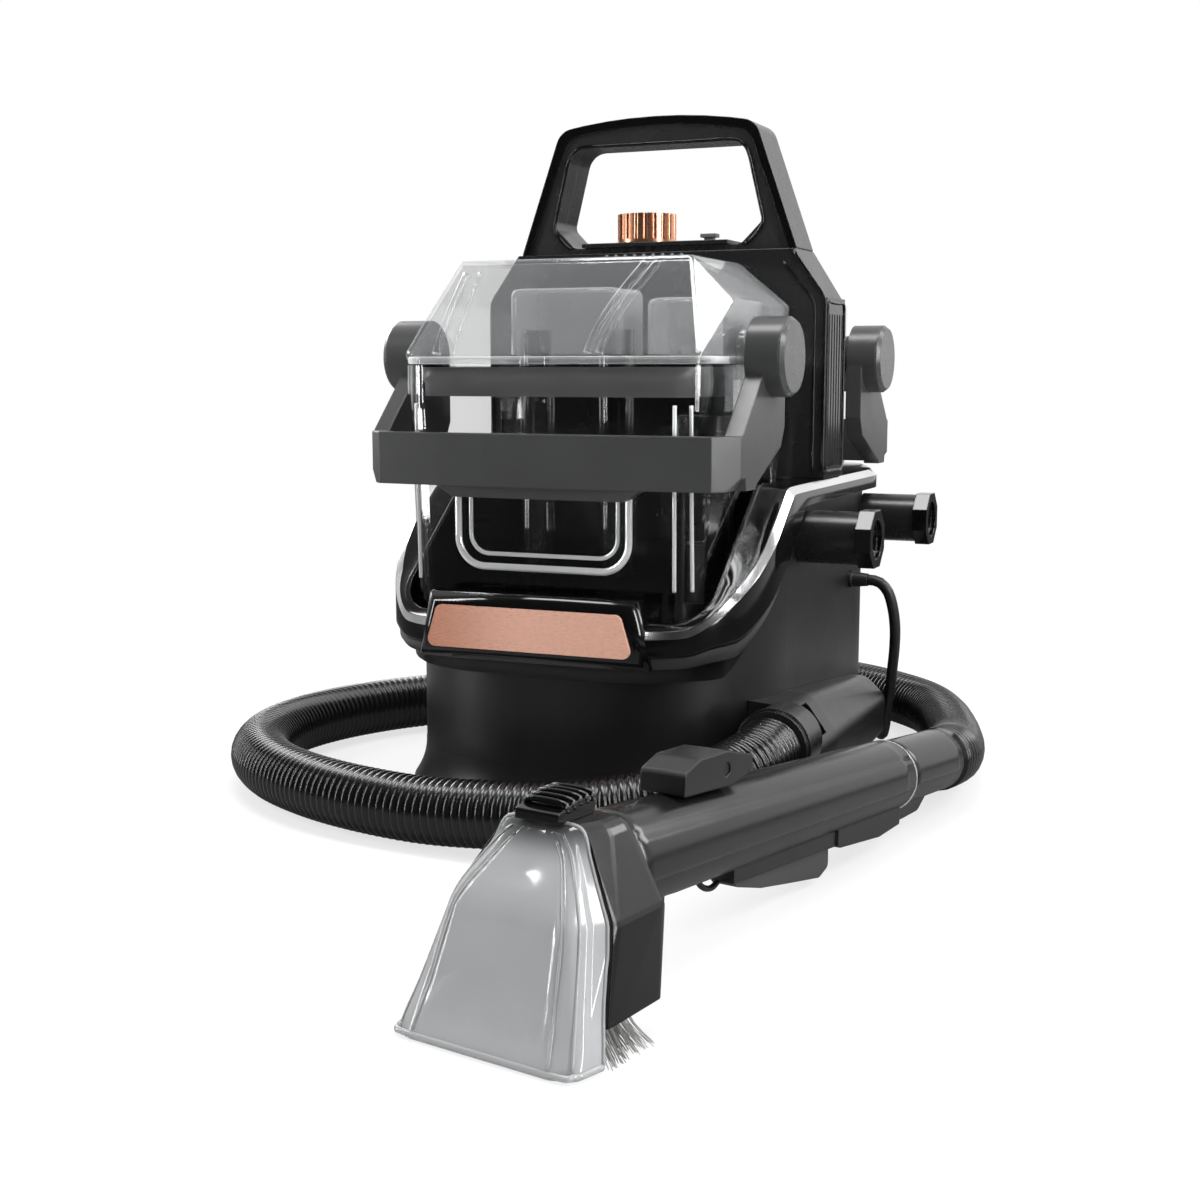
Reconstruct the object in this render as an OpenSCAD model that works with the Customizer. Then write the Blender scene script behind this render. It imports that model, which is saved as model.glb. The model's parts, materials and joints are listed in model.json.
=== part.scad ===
// Portable spot extractor: a base casing with two lift-off tanks, a carry handle, a suction hose and a
// hand wand.
// Millimetres, X to the right, Y to the back, Z up. The origin is on the floor under the middle of the
// base casing.

/* [Base] */
// Width of the base casing
base_w = 220; // [212:1:236]
// Depth of the base casing
base_d = 344; // [336:1:360]
// Corner radius of the base casing in plan
base_r = 95; // [80:1:98]
// Wall thickness of the casings
wall = 3; // [2:0.5:4]
// Height of the rubber foot ring
foot_h = 3; // [2:0.5:5]
// How far the skirt at the foot of the casing stands out
skirt_out = 2.5; // [1:0.5:4]
// Height of the underside of the trim band at the front
lip_z = 81; // [76:1:86]
// Height of the trim band at the front
lip_h = 30; // [26:1:32]
// Height of the shelf that the rear tank stands on
shelf_z = 182; // [174:1:182]
// Height of the trim band along the shelf
shelf_h = 14; // [10:1:18]
// How far the trim band stands out at the sides
trim_side = 5; // [3:1:8]
// How far the trim band stands out at the front
trim_front = 15; // [10:1:18]
// Height of the seat that the front tank stands on
seat_z = 99; // [95:1:103]

/* [Front tank] */
// Width of the front tank
tank_w = 180; // [170:1:182]
// Depth of the front tank
tank_d = 150; // [140:1:152]
// Wall of both tanks
tank_wall = 2.5; // [2:0.5:4]
// Height of the front tank's rim above the floor
rim_z = 249; // [244:1:252]
// Height of the grey band under the rim
band_h = 16; // [12:1:20]
// How much narrower the front tank is at its foot, on each side
tank_taper = 5; // [2:1:8]
// Height of the lid above the rim
lid_h = 60.5; // [50:0.5:64]
// Room between the front tank and its pocket
pocket_gap = 2; // [1:0.5:3]

/* [Rear tank] */
// Width of the rear tank
rear_w = 172; // [160:1:180]
// Height of the rear tank
rear_h = 106; // [96:1:112]
// Radius of the fill cap
cap_r = 23; // [20:1:28]

/* [Bails] */
// Height of the bail pivots
pivot_z = 253.4; // [250:0.1:256]
// Distance of each pivot from the tank's outer face, front to back
pivot_in = 57; // [55:1:60]
// Radius of the pivot hubs
hub_r = 21.6; // [18:0.1:23]
// Room between the tanks' ears and the bail arms
arm_room = 7; // [5:0.5:9]
// Thickness of the bail arms
arm_t = 10; // [7:1:11]
// Height of the bail bar
bar_h = 28.6; // [24:0.2:32]
// Radius of the pivot stubs
stub_r = 8; // [6:0.5:10]

/* [Spine and handle] */
// Width of the spine over its ribbed side panels
spine_w = 223; // [214:1:228]
// Thickness of the spine from front to back
spine_t = 40; // [36:1:42]
// Height where the spine's shoulders begin
shoulder_z = 289; // [280:1:296]
// Height of the top of the spine
spine_top = 318; // [312:1:322]
// Width of the handle at its foot
handle_w = 182; // [170:1:190]
// Width of the handle at its top corners
handle_top_w = 128; // [118:1:140]
// Total height of the machine
total_h = 400; // [394:1:408]
// Depth of the handle
handle_t = 33; // [28:1:36]
// Width of the hand opening at its top
grip_w = 114; // [104:1:118]
// Height of the grip bar
grip_h = 16; // [13:1:20]
// Radius of the mode dial
dial_r = 18.4; // [15:0.2:20]
// Height of the mode dial
dial_h = 17.5; // [14:0.5:20]

/* [Wrap posts and hose] */
// Radius of the cord wrap posts
post_r = 15.2; // [12:0.2:17]
// Height of the wrap posts' axes
post_z = 151; // [142:1:152]
// Length of the wrap posts
post_l = 36; // [30:1:46]
// Outside diameter of the hose
hose_d = 36; // [32:1:37]
// Diameter of the power cord
cord_d = 7; // [6:0.5:8]

/* [Wand] */
// Length of the wand from the tool to the end of its tail cuff
wand_l = 335; // [326:1:345]
// Radius of the barrel at the tool end
barrel_r = 21; // [20:0.5:22]
// Radius of the tail cuff's end
tail_r = 16.5; // [16:0.5:17.5]
// Radius of the spigot that the tool slides onto
spigot_r = 15.9; // [15:0.1:17]
// Running clearance of pins, shafts and the spigot
fit = 0.05; // [0.02:0.01:0.1]
// Width of the tool's mouth
mouth_w = 88; // [80:1:94]
// Width of the tool at its top
tool_top_w = 50; // [44:1:56]
// Height of the tool
tool_h = 80; // [78:1:86]

/* [Hidden] */
$fn = 64;

gap = 0.5;          // room between bodies that only rest on each other
eps = 0.01;
far = 400;          // longer than any part of the machine, for cutting shapes
slope_w = 24;       // width of the trim band along its slope, front to back
toe_y = 3 - base_d / 2;        // where the trim band's slope begins
shoulder_y = toe_y + 89;       // where it meets the shelf
front_y = -base_d / 2 - trim_front;
trim_d = base_d + trim_front + trim_side;
trim_w = base_w + 2 * trim_side;
trim_y = (trim_side - trim_front) / 2;
trim_r = 80;
pan_wall = 2.5;

tank_y0 = 8 - base_d / 2;            // front face of the front tank
tank_y1 = tank_y0 + tank_d;          // back face of the front tank
tank_y = (tank_y0 + tank_y1) / 2;
tank_r = 18;
tank_z0 = seat_z + gap;
pocket_w = tank_w + 2 * (pocket_gap + pan_wall);
pocket_y0 = tank_y0 - pocket_gap - pan_wall;
pocket_y1 = base_d / 2 - 4;
lid_z = rim_z + 1.5;                 // underside of the lid, above its joint plate

spine_y0 = tank_y1 + 5;
spine_y1 = spine_y0 + spine_t;
split_y = spine_y0 + spine_t / 2;    // joint between the front and rear halves
panel_t = 2;
core_w = spine_w - 2 * panel_t;

rear_y0 = spine_y1 + 5;
rear_y1 = base_d / 2 - 14;
rear_d = rear_y1 - rear_y0;
rear_y = (rear_y0 + rear_y1) / 2;
rear_z0 = shelf_z + gap;
rear_top = rear_z0 + rear_h;
rear_r = 30;
cap_y = rear_y;

front_pivot_y = tank_y0 + pivot_in;
rear_pivot_y = rear_y1 - pivot_in;
ear_t = 3;
ear_x = max(tank_w, rear_w) / 2 + 3;              // inner face of the pivot ears
bail_w = 2 * (ear_x + arm_room + arm_t);   // width over the bail arms
hub_x = bail_w / 2 - arm_t;          // inner face of the hubs
hub_out = bail_w / 2 + 9;            // outer face of the hubs
cap_t = 2.8;
stub_out = hub_out - 1;
bail_gap = 2;                        // between the bar and the tank behind it

handle_y0 = spine_y1 - handle_t;
handle_split = handle_y0 + handle_t / 2;
handle_crown = 6;                    // how much the grip is higher in the middle
opening_z0 = spine_top + 4;
opening_z1 = total_h - grip_h;
deck_t = 2.5;
dial_pos = [-12, spine_y0 + 22];
dial_z = opening_z0 + deck_t + gap;
shaft_r = 4;
button_pos = [33, spine_y0 + 13];

post_front_y = 122 - base_d / 2;
post_rear_y = base_d / 2 - 78;
post_cap_t = 9;
relief_pos = [62, 113];              // where the power cord leaves the casing, in Y and Z
relief_r = 5.5;

housing_y0 = 54 - base_d / 2;
housing_y1 = 70;
housing_top = 66;
housing_rear_top = 50;                // it grows lower and narrower towards the rear
housing_out = 32;                    // how far the hose housing stands out from the casing
cuff_pos = [base_w / 2 + 14, housing_y0, 47];
cuff_l = 30;

motor_pos = [0, base_d / 2 - 88];
motor_r = 50;
motor_z0 = 24;
motor_h = 78;

handset_pos = [130, -399];           // under the point where the tool meets the barrel
handset_yaw = -11.4;
wand_z = 54;
wand_pitch = 3.9;
bore_r = 10;                         // suction path through the barrel
bore_up = 4;                         // how far it lies above the barrel's axis
cuff_seam = 268;
trigger_y = [104, 194];
trigger_pivot = [110, -15.5];
latch_y = [50, 106];
latch_pivot = [84, 29];
release_y = [34, 46];
pin_r = 3;
mouth_y = -72;                       // the mouth's front edge, ahead of the joint with the barrel
tool_wall = 2.5;

// Centre line of the hose, from its cuff on the casing round the machine to the wand's tail.
hose_route = [[124, -148, 47], [123, -174, 45], [115, -199, 41], [97, -220, 35], [70, -233, 29], [36,
  -239, 24],
  [0, -240, 21], [-38, -238, 19], [-80, -231, 19], [-120, -217, 19], [-158, -195, 19], [-188, -165, 19],
  [-207, -128, 19], [-214, -88, 19], [-209, -48, 19], [-194, -10, 19], [-172, 24, 19], [-151, 58, 19],
  [-138, 94, 19], [-128, 133, 19], [-107, 168, 19], [-74, 190, 19], [-34, 201, 19], [8, 203, 19], [50,
  198, 19],
  [88, 182, 19], [121, 158, 19], [148, 129, 19], [166, 94, 19], [179, 56, 19], [189, 18, 20], [195, -18,
  24],
  [198, -48, 29], [196.5, -68.9, 31]];
// Centre line of the power cord, from its relief down to the floor, round the casing and over the hose
// to its coil.
cord_route = [[122, 62, 113], [129, 62, 112], [135, 62, 106], [138, 64, 95], [139, 67, 82], [138, 71, 68],
  [136, 75, 54], [134, 79, 40], [131, 83, 26], [129, 88, 13], [125, 97, 5], [118, 110, 4], [110, 124, 4],
  [98, 139, 4], [81, 156, 4], [58, 170, 4], [33, 177, 4], [12, 178, 8], [-8, 178, 17], [-24, 178, 27],
  [-36, 182, 35], [-44, 190, 41], [-50, 202, 43], [-54, 214, 40], [-57, 224, 31], [-59, 234, 19], [-60,
  246, 8],
  [-60, 256, 4]];
coil_pos = [-16, 289];
coil_r = 43;                         // radius at the middle of the coil's turns
coil_w = 29;
coil_h = 29;

// ---- shapes used by several parts ----

// A rectangle with true round corners, in plan.
module round_rect(w, d, r) {
  union() {
    square([w - 2 * r, d], center = true);
    square([w, d - 2 * r], center = true);
    for (x = [-1, 1], y = [-1, 1])
      translate([x * (w / 2 - r), y * (d / 2 - r)])
        circle(r);
  }
}

// Turns a profile of (y, z) points into a bar that runs along X from x0 to x1.
module bar_x(x0, x1, points) {
  translate([x0, 0, 0])
    rotate([90, 0, 90])
      linear_extrude(x1 - x0)
        polygon(points);
}

// Turns an outline of (x, z) points into a plate that runs along Y from y0 to y1.
module plate_y(y0, y1, points) {
  translate([0, y1, 0])
    rotate([90, 0, 0])
      linear_extrude(y1 - y0)
        polygon(points);
}

module rod_x(x0, x1, r) {
  translate([x0, 0, 0])
    rotate([0, 90, 0])
      cylinder(h = x1 - x0, r = r);
}

module rod_y(y0, y1, r, r2 = -1) {
  translate([0, y0, 0])
    rotate([-90, 0, 0])
      cylinder(h = y1 - y0, r1 = r, r2 = r2 < 0 ? r : r2);
}

module block(low, high) {
  translate(low)
    cube(high - low);
}

function unit(v) = v / norm(v);

// Replaces each corner of an outline by an arc of its own radius, of steps + 1 points.
function rounded(pts, radii, steps = 6) = [
  for (i = [0 : len(pts) - 1])
    let (
      p = pts[i],
      a = unit(pts[(i + len(pts) - 1) % len(pts)] - p),
      b = unit(pts[(i + 1) % len(pts)] - p),
      half = acos(a * b) / 2,
      r = radii[i],
      centre = p + unit(a + b) * r / sin(half),
      from = p + a * r / tan(half) - centre,
      to = p + b * r / tan(half) - centre
    )
    for (k = [0 : steps])
      let (
        t = k / steps,
        sweep = acos(min(1, max(-1, unit(from) * unit(to))))
      )
      centre + (sin((1 - t) * sweep) * from + sin(t * sweep) * to) / sin(sweep)
];

// One ring of a tube, at p, square to the direction t.
function ring(p, t, up, r, n) =
  let (
    s = unit(cross(up, t)),
    u = cross(t, s)
  )
  [for (k = [0 : n - 1]) p + r * (cos(360 * k / n) * s + sin(360 * k / n) * u)];

function heading(pts, i) = unit(pts[min(i + 1, len(pts) - 1)] - pts[max(i - 1, 0)]);

// A tube of n sides swept along a list of points; up is a direction that it never runs along.
module tube(pts, r, n, up) {
  last = len(pts) - 1;
  corners = [for (i = [0 : last]) each ring(pts[i], heading(pts, i), up, r, n)];
  sides = [
    for (i = [0 : last - 1], k = [0 : n - 1])
      let (
        a = i * n + k,
        b = i * n + (k + 1) % n
      )
      each [[a, a + n, b + n], [a, b + n, b]]
  ];
  start = [for (k = [0 : n - 1]) k];
  end = [for (k = [n - 1 : -1 : 0]) last * n + k];
  polyhedron(points = corners, faces = concat(sides, [start, end]));
}

// Side view of the trim band: front lip, slope and shelf.
upper_edge = [[-far, lip_z + lip_h], [toe_y, lip_z + lip_h], [shoulder_y, shelf_z], [far, shelf_z]];
lower_edge = [[-far, lip_z], [toe_y + slope_w, lip_z], [shoulder_y + slope_w, shelf_z - shelf_h],
  [far, shelf_z - shelf_h]];

module under(edge) {
  bar_x(-far, far, concat(edge, [[far, -eps], [-far, -eps]]));
}

module base_plan(grow = 0) {
  round_rect(base_w + 2 * grow, base_d + 2 * grow, base_r + grow);
}

module pocket_plan(grow = 0) {
  translate([0, (pocket_y0 + pocket_y1) / 2])
    round_rect(pocket_w + 2 * grow, pocket_y1 - pocket_y0 + 2 * grow,
      tank_r + pocket_gap + pan_wall + grow);
}

// ---- base ----

module foot_ring() {
  color("#1a1a1a")
    linear_extrude(foot_h)
      difference() {
        base_plan(-1);
        base_plan(-14);
      }
}

module bottom_plate() {
  color("#222222")
    translate([0, 0, foot_h])
      difference() {
        linear_extrude(wall)
          base_plan(-wall - 0.2);
        for (p = screw_places)
          translate([p[0], p[1], -eps])
            cylinder(h = wall + 2 * eps, r = screw_r + 0.2);
      }
}

screw_r = 2;
screw_places = [for (x = [-1, 1], y = [-1, 0, 1]) [x * (base_w / 2 - 20), y * (base_d / 2 - base_r + 10)]];

module base_shell() {
  color("#1c1c1d")
    difference() {
      union() {
        intersection() {
          translate([0, 0, foot_h])
            linear_extrude(shelf_z)
              base_plan();
          under(lower_edge);
        }
        translate([0, 0, foot_h])
          linear_extrude(6)
            base_plan(skirt_out);
      }
      difference() {
        translate([0, 0, foot_h - eps])
          linear_extrude(shelf_z)
            base_plan(-wall);
        screw_bosses();
      }
      translate([0, 0, seat_z - wall])
        linear_extrude(far)
          pocket_plan(0.1);
      for (p = screw_places)
        translate([p[0], p[1], foot_h - eps])
          cylinder(h = 15, r = screw_r);
      translate([0, relief_pos[0], relief_pos[1]])
        rod_x(base_w / 2 - 10, base_w / 2 + 10, relief_r);
    }
}

// Each boss stands on the inside of the casing and is tied to its wall by a rib.
module screw_bosses() {
  for (p = screw_places)
    translate([p[0], p[1], foot_h + wall]) {
      cylinder(h = 16, r = 4);
      rotate([0, 0, p[0] > 0 ? 0 : 180])
        block([0, -1, 0], [20, 1, 16]);
    }
}

module case_screws() {
  color("silver")
    for (p = screw_places)
      translate([p[0], p[1], 0]) {
        translate([0, 0, foot_h - 1.6])
          cylinder(h = 1.6, r = 4);
        translate([0, 0, foot_h - eps])
          cylinder(h = 14, r = screw_r - fit);
      }
}

module hose_housing() {
  inner = base_w / 2 - 12;
  outer = base_w / 2 + housing_out;
  front_outline = rounded([[inner, foot_h + 7], [outer - 2, foot_h + 7], [outer, housing_top - 24],
    [outer - 16, housing_top - 2], [inner, housing_top]], [1, 6, 14, 14, 1]);
  rear_outline = rounded([[inner, foot_h + 7], [outer - 10, foot_h + 7], [outer - 9, housing_rear_top - 13],
    [outer - 22, housing_rear_top - 1], [inner, housing_rear_top]], [1, 6, 10, 10, 1]);
  color("#1e1e1f")
    difference() {
      hull() {
        plate_y(housing_y0, housing_y0 + 40, front_outline);
        plate_y(housing_y1 - 1, housing_y1, rear_outline);
      }
      linear_extrude(far)
        base_plan(gap / 5);
      // the rear end is cut back in a curve that meets the casing
      translate([outer + 6, housing_y1 + 14, 0])
        difference() {
          block([-34, -34, -eps], [20, 20, far]);
          translate([-34, -34, -2 * eps])
            cylinder(h = far + 1, r = 30);
        }
      translate([cuff_pos[0], 0, cuff_pos[2]])
        rod_y(housing_y0 - eps, housing_y0 + 26, hose_d / 2 - 3);
    }
}

module hose_cuff() {
  color("#151516")
    translate([cuff_pos[0], 0, cuff_pos[2]])
      difference() {
        union() {
          rod_y(housing_y0 - cuff_l, housing_y0, hose_d / 2 + 2);
          rod_y(housing_y0 - cuff_l + 4, housing_y0 - cuff_l + 8, hose_d / 2 + 3);
        }
        rod_y(housing_y0 - cuff_l - eps, housing_y0 + eps, hose_d / 2 - 3);
      }
}

module trim_band() {
  plate_half = 66;
  color("#0c0c0d")
    difference() {
      intersection() {
        union() {
          intersection() {
            translate([0, trim_y, 0])
              linear_extrude(far)
                round_rect(trim_w, trim_d, trim_r);
            under(upper_edge);
          }
          plate_y(front_y, front_y + 14, [[-plate_half, lip_z + 4], [plate_half, lip_z + 4],
            [plate_half - 10, lip_z + lip_h + 14], [10 - plate_half, lip_z + lip_h + 14]]);
        }
        translate([0, trim_y, 0])
          linear_extrude(far)
            round_rect(trim_w, trim_d, trim_r);
      }
      under(lower_edge);
      translate([0, 0, lip_z - 1])
        linear_extrude(far)
          pocket_plan();
    }
}

module name_plate() {
  color("#c98863")
    plate_y(front_y - 2, front_y, rounded([[-61, lip_z + 16], [61, lip_z + 16], [54, lip_z + 39],
      [-54, lip_z + 39]], [4, 4, 4, 4]));
}

module tank_deck() {
  back = tank_y1 + pocket_gap;
  color("#0f0f10")
    difference() {
      union() {
        difference() {
          intersection() {
            translate([0, 0, seat_z - wall])
              linear_extrude(far)
                difference() {
                  pocket_plan();
                  pocket_plan(-pan_wall);
                }
            under(upper_edge);
          }
          block([-far, back + wall, 0], [far, far, shelf_z - wall]);
        }
        intersection() {
          translate([0, 0, seat_z - wall])
            linear_extrude(wall)
              pocket_plan(-pan_wall / 2);
          block([-far, -far, 0], [far, back + wall, far]);
        }
        block([-pocket_w / 2 + 1, back, seat_z - wall], [pocket_w / 2 - 1, back + wall, shelf_z]);
        intersection() {
          translate([0, 0, shelf_z - wall])
            linear_extrude(wall)
              pocket_plan(-pan_wall / 2);
          block([-far, back, 0], [far, far, far]);
        }
      }
      translate([0, cap_y, shelf_z - wall - 1])
        cylinder(h = wall + 2, r = valve_r + 2);
    }
}

valve_r = 9;

module wrap_post(y) {
  color("#141415")
    translate([0, y, post_z])
      difference() {
        rod_x(post_root(y), base_w / 2 + post_l, post_r);
        rod_x(base_w / 2 + post_l - 14, base_w / 2 + post_l + eps, post_r - 4);
      }
}

// The posts start at the casing's wall, which curves away near the corners.
function post_root(y) = base_w / 2 + 2.5 - (abs(y) > base_d / 2 - base_r
  ? base_r - sqrt(pow(base_r, 2) - pow(abs(y) + post_r - (base_d / 2 - base_r), 2)) : 0) + root_extra(y);
function root_extra(y) = y > 0 ? 3 : -2.2;

module post_cap(y) {
  color("#0b0b0c")
    translate([base_w / 2 + post_l, y, post_z])
      rotate([0, 90, 0])
        rotate([0, 0, 22.5])
          difference() {
            cylinder(h = post_cap_t, r = post_r + 2.4, $fn = 8);
            translate([0, 0, post_cap_t - 3])
              cylinder(h = 4, r = post_r - 4);
          }
}

module wrap_post_front() {
  wrap_post(post_front_y);
}

module wrap_post_rear() {
  wrap_post(post_rear_y);
}

module post_cap_front() {
  post_cap(post_front_y);
}

module post_cap_rear() {
  post_cap(post_rear_y);
}

module cord_relief() {
  color("#111111")
    translate([0, relief_pos[0], relief_pos[1]]) {
      rod_x(base_w / 2 - 8, base_w / 2 + 2, relief_r - fit);
      translate([base_w / 2 + 2, 0, 0])
        rotate([0, 90, 0])
          cylinder(h = 10, r1 = relief_r - 0.5, r2 = cord_d / 2 + 0.5);
    }
}

// ---- inside the base ----

module vacuum_motor() {
  color("#777777")
    translate([motor_pos[0], motor_pos[1], 0]) {
      translate([0, 0, foot_h + wall])
        cylinder(h = motor_z0 - foot_h - wall, r = motor_r - 18);
      translate([0, 0, motor_z0])
        cylinder(h = motor_h, r = motor_r);
      translate([0, 0, motor_z0 + motor_h])
        cylinder(h = 34, r = shaft_r);
    }
}

module fan_impeller() {
  fan_z = motor_z0 + motor_h + 8;
  color("#a9abad")
    translate([motor_pos[0], motor_pos[1], fan_z])
      difference() {
        union() {
          cylinder(h = 2, r = motor_r - 4);
          cylinder(h = 20, r = 10);
          for (k = [0 : 8])
            rotate([0, 0, 40 * k])
              block([8, -1, 1], [motor_r - 6, 1, 18]);
        }
        translate([0, 0, -eps])
          cylinder(h = 21, r = shaft_r + fit);
      }
}

module water_pump() {
  color("#c8c8c2")
    translate([-62, -40, foot_h + wall]) {
      block([-24, -34, 0], [24, 34, 40]);
      translate([0, 0, 50])
        rod_y(-30, 30, 16);
    }
}

module heater_block() {
  color("#b8b8ba")
    translate([46, -60, foot_h + wall]) {
      block([-22, -50, 0], [22, 50, 34]);
      for (y = [-38 : 19 : 38])
        block([-22, y - 2, 34 - eps], [22, y + 2, 46]);
    }
}

module control_board() {
  color("#2f6b3f")
    block([-60, split_y - 1, shelf_z + 30], [60, split_y + 0.8, shoulder_z - 12]);
}

// ---- spine and handle ----

function spine_outline(inset) =
  let (
    c = core_w / 2 - inset,
    s = handle_w / 2 - inset * 0.6
  )
  [[-c, shelf_z + inset], [c, shelf_z + inset], [c, shoulder_z - inset * 0.4], [s, spine_top - inset],
    [-s, spine_top - inset], [-c, shoulder_z - inset * 0.4]];

module spine_half(y0, y1, closed_y) {
  difference() {
    plate_y(y0, y1, spine_outline(0));
    plate_y(y0 == closed_y ? y0 + wall : y0 - 1, y1 == closed_y ? y1 - wall : y1 + 1, spine_outline(wall));
    translate([dial_pos[0], dial_pos[1], spine_top - 2 * wall])
      cylinder(h = 3 * wall, r = shaft_r + fit);
    translate([button_pos[0], button_pos[1], spine_top - 2 * wall])
      block([-3.3, -2.3, 0], [3.3, 2.3, 3 * wall]);
  }
}

module spine_front_shell() {
  color("#161617")
    spine_half(spine_y0, split_y, spine_y0);
}

module spine_rear_shell() {
  color("#161617")
    spine_half(split_y, spine_y1, spine_y1);
}

module rib_panel(side) {
  ribs = 6;
  pitch = (spine_t - 6) / ribs;
  color("#121213")
    difference() {
      if (side > 0)
        block([core_w / 2, spine_y0, shelf_z], [spine_w / 2, spine_y1, shoulder_z]);
      else
        block([-spine_w / 2, spine_y0, shelf_z], [-core_w / 2, spine_y1, shoulder_z]);
      for (k = [0 : ribs - 1])
        translate([side * spine_w / 2, spine_y0 + 3 + pitch * (k + 0.5), shelf_z + 6])
          cylinder(h = shoulder_z - shelf_z - 16, r = 1.3, $fn = 16);
    }
}

module rib_panel_left() {
  rib_panel(-1);
}

module rib_panel_right() {
  rib_panel(1);
}

// Points of an arched edge from right to left: half its width, and the height of its middle.
function arched(half, top) = [for (k = [4 : -1 : -4]) [k / 4 * half, top - handle_crown * pow(k / 4, 2)]];
arched_radii = [12, 30, 30, 30, 30, 30, 30, 30, 12];

function handle_outline(inset) = rounded(concat([[-handle_w / 2 + inset, spine_top],
  [handle_w / 2 - inset, spine_top]],
  arched(handle_top_w / 2 - inset * 0.8, total_h - inset)), concat([1, 1], arched_radii));

opening_outline = rounded([[-grip_w / 2 - 12, opening_z0 + 14], [-grip_w / 2 + 2, opening_z0],
  [grip_w / 2 - 2, opening_z0], [grip_w / 2 + 12, opening_z0 + 14], [grip_w / 2, opening_z1],
  [-grip_w / 2, opening_z1]], [6, 6, 6, 6, 12, 12]);

module handle_half(y0, y1) {
  color("#1b1b1c")
    difference() {
      plate_y(y0, y1, handle_outline(0));
      plate_y(y0 - 1, y1 + 1, opening_outline);
      translate([dial_pos[0], dial_pos[1], spine_top - 1])
        cylinder(h = 8, r = shaft_r + fit);
      translate([button_pos[0], button_pos[1], spine_top - 1])
        block([-3.3, -2.3, 0], [3.3, 2.3, 8]);
    }
}

module handle_front_shell() {
  handle_half(handle_y0, handle_split);
}

module handle_rear_shell() {
  handle_half(handle_split, spine_y1);
}

module handle_bezel() {
  color("#0a0a0b")
    difference() {
      plate_y(handle_y0 - 2, handle_y0, handle_outline(0));
      plate_y(handle_y0 - 3, handle_y0 + 1, concat(handle_outline(5)));
    }
}

module top_deck() {
  color("#101011")
    difference() {
      block([-grip_w / 2 + 9, handle_y0 - 5, opening_z0], [grip_w / 2 - 9, spine_y1, opening_z0 + deck_t]);
      translate([dial_pos[0], dial_pos[1], opening_z0 - 1])
        cylinder(h = deck_t + 2, r = shaft_r + fit);
      translate([button_pos[0], button_pos[1], opening_z0 - 1])
        block([-3.3, -2.3, 0], [3.3, 2.3, deck_t + 2]);
    }
}

module mode_dial() {
  color("#c98863")
    translate([dial_pos[0], dial_pos[1], dial_z])
      difference() {
        union() {
          cylinder(h = dial_h, r = dial_r);
          translate([0, 0, -deck_t - 15])
            cylinder(h = deck_t + 16, r = shaft_r);
        }
        for (k = [0 : 19])
          rotate([0, 0, 18 * k])
            translate([dial_r + 0.6, 0, 2])
              cylinder(h = dial_h, r = 1.6, $fn = 16);
      }
}

module power_button() {
  color("#2b2b2c")
    translate([button_pos[0], button_pos[1], opening_z0 + deck_t]) {
      block([-5, -3.5, 2.2], [5, 3.5, 4.4]);
      block([-3, -2, -6], [3, 2, 3]);
    }
}

// ---- front tank ----

module front_plan(grow = 0) {
  translate([0, tank_y])
    round_rect(tank_w + 2 * grow, tank_d + 2 * grow, tank_r + grow);
}

module foot_plan(grow = 0) {
  translate([0, tank_y])
    round_rect(tank_w - 2 * tank_taper + 2 * grow, tank_d + 2 * grow, tank_r + grow);
}

module front_tank_solid(grow, z0, z1) {
  belt = rim_z - band_h - 8;
  hull() {
    translate([0, 0, z0])
      linear_extrude(1)
        foot_plan(grow);
    translate([0, 0, belt - 1])
      linear_extrude(1)
        front_plan(grow);
  }
  translate([0, 0, belt - eps])
    linear_extrude(z1 - belt)
      front_plan(grow);
}

module front_tank_shell() {
  color([0.75, 0.78, 0.8, 0.35])
    difference() {
      front_tank_solid(0, tank_z0, rim_z, $fn = 32);
      front_tank_solid(-tank_wall, tank_z0 + tank_wall, rim_z + 1, $fn = 32);
    }
}

module pivot_ear(side, y) {
  x = side > 0 ? ear_x : -ear_x - ear_t;
  translate([0, y, pivot_z]) {
    rod_x(x, x + ear_t, 15);
    rod_x(side > 0 ? ear_x : -stub_out, side > 0 ? stub_out : -ear_x, stub_r);
  }
}

module ear_foot(side, y, low, face) {
  x0 = side > 0 ? face : -ear_x - ear_t;
  x1 = side > 0 ? ear_x + ear_t : -face;
  block([x0, y - 15, low], [x1, y + 15, low + 8]);
  block([side > 0 ? ear_x : -ear_x - ear_t, y - 15, low], [side > 0 ? ear_x + ear_t : -ear_x, y + 15,
    pivot_z]);
}

module tank_ring() {
  color("#6f7072")
    union() {
      translate([0, 0, rim_z - band_h])
        linear_extrude(band_h)
          difference() {
            front_plan(1.5);
            front_plan(0);
          }
      for (side = [-1, 1]) {
        pivot_ear(side, front_pivot_y);
        ear_foot(side, front_pivot_y, rim_z - band_h, tank_w / 2 + 0.5);
      }
    }
}

lid_low = [[tank_w / 2 - 6, 6], [tank_w / 2 - 6, tank_d - 5]];
module lid_solid(inset) {
  r = 4 - inset;
  lid_top = rim_z + lid_h;
  hull()
    for (s = [-1, 1]) {
      for (p = lid_low)
        translate([s * p[0], tank_y0 + p[1], lid_z + 4])
          sphere(r, $fn = 16);
      for (y = [tank_y0 + 46, tank_y1 - 5])
        translate([s * (tank_w / 2 - 3), y, rim_z + 33])
          sphere(r, $fn = 16);
      translate([s * (tank_w / 2 - 22), tank_y0 + 38, lid_top - 6])
        sphere(r, $fn = 16);
      translate([s * (tank_w / 2 - 32), tank_y1 - 5, lid_top - 4])
        sphere(r, $fn = 16);
    }
}

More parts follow.
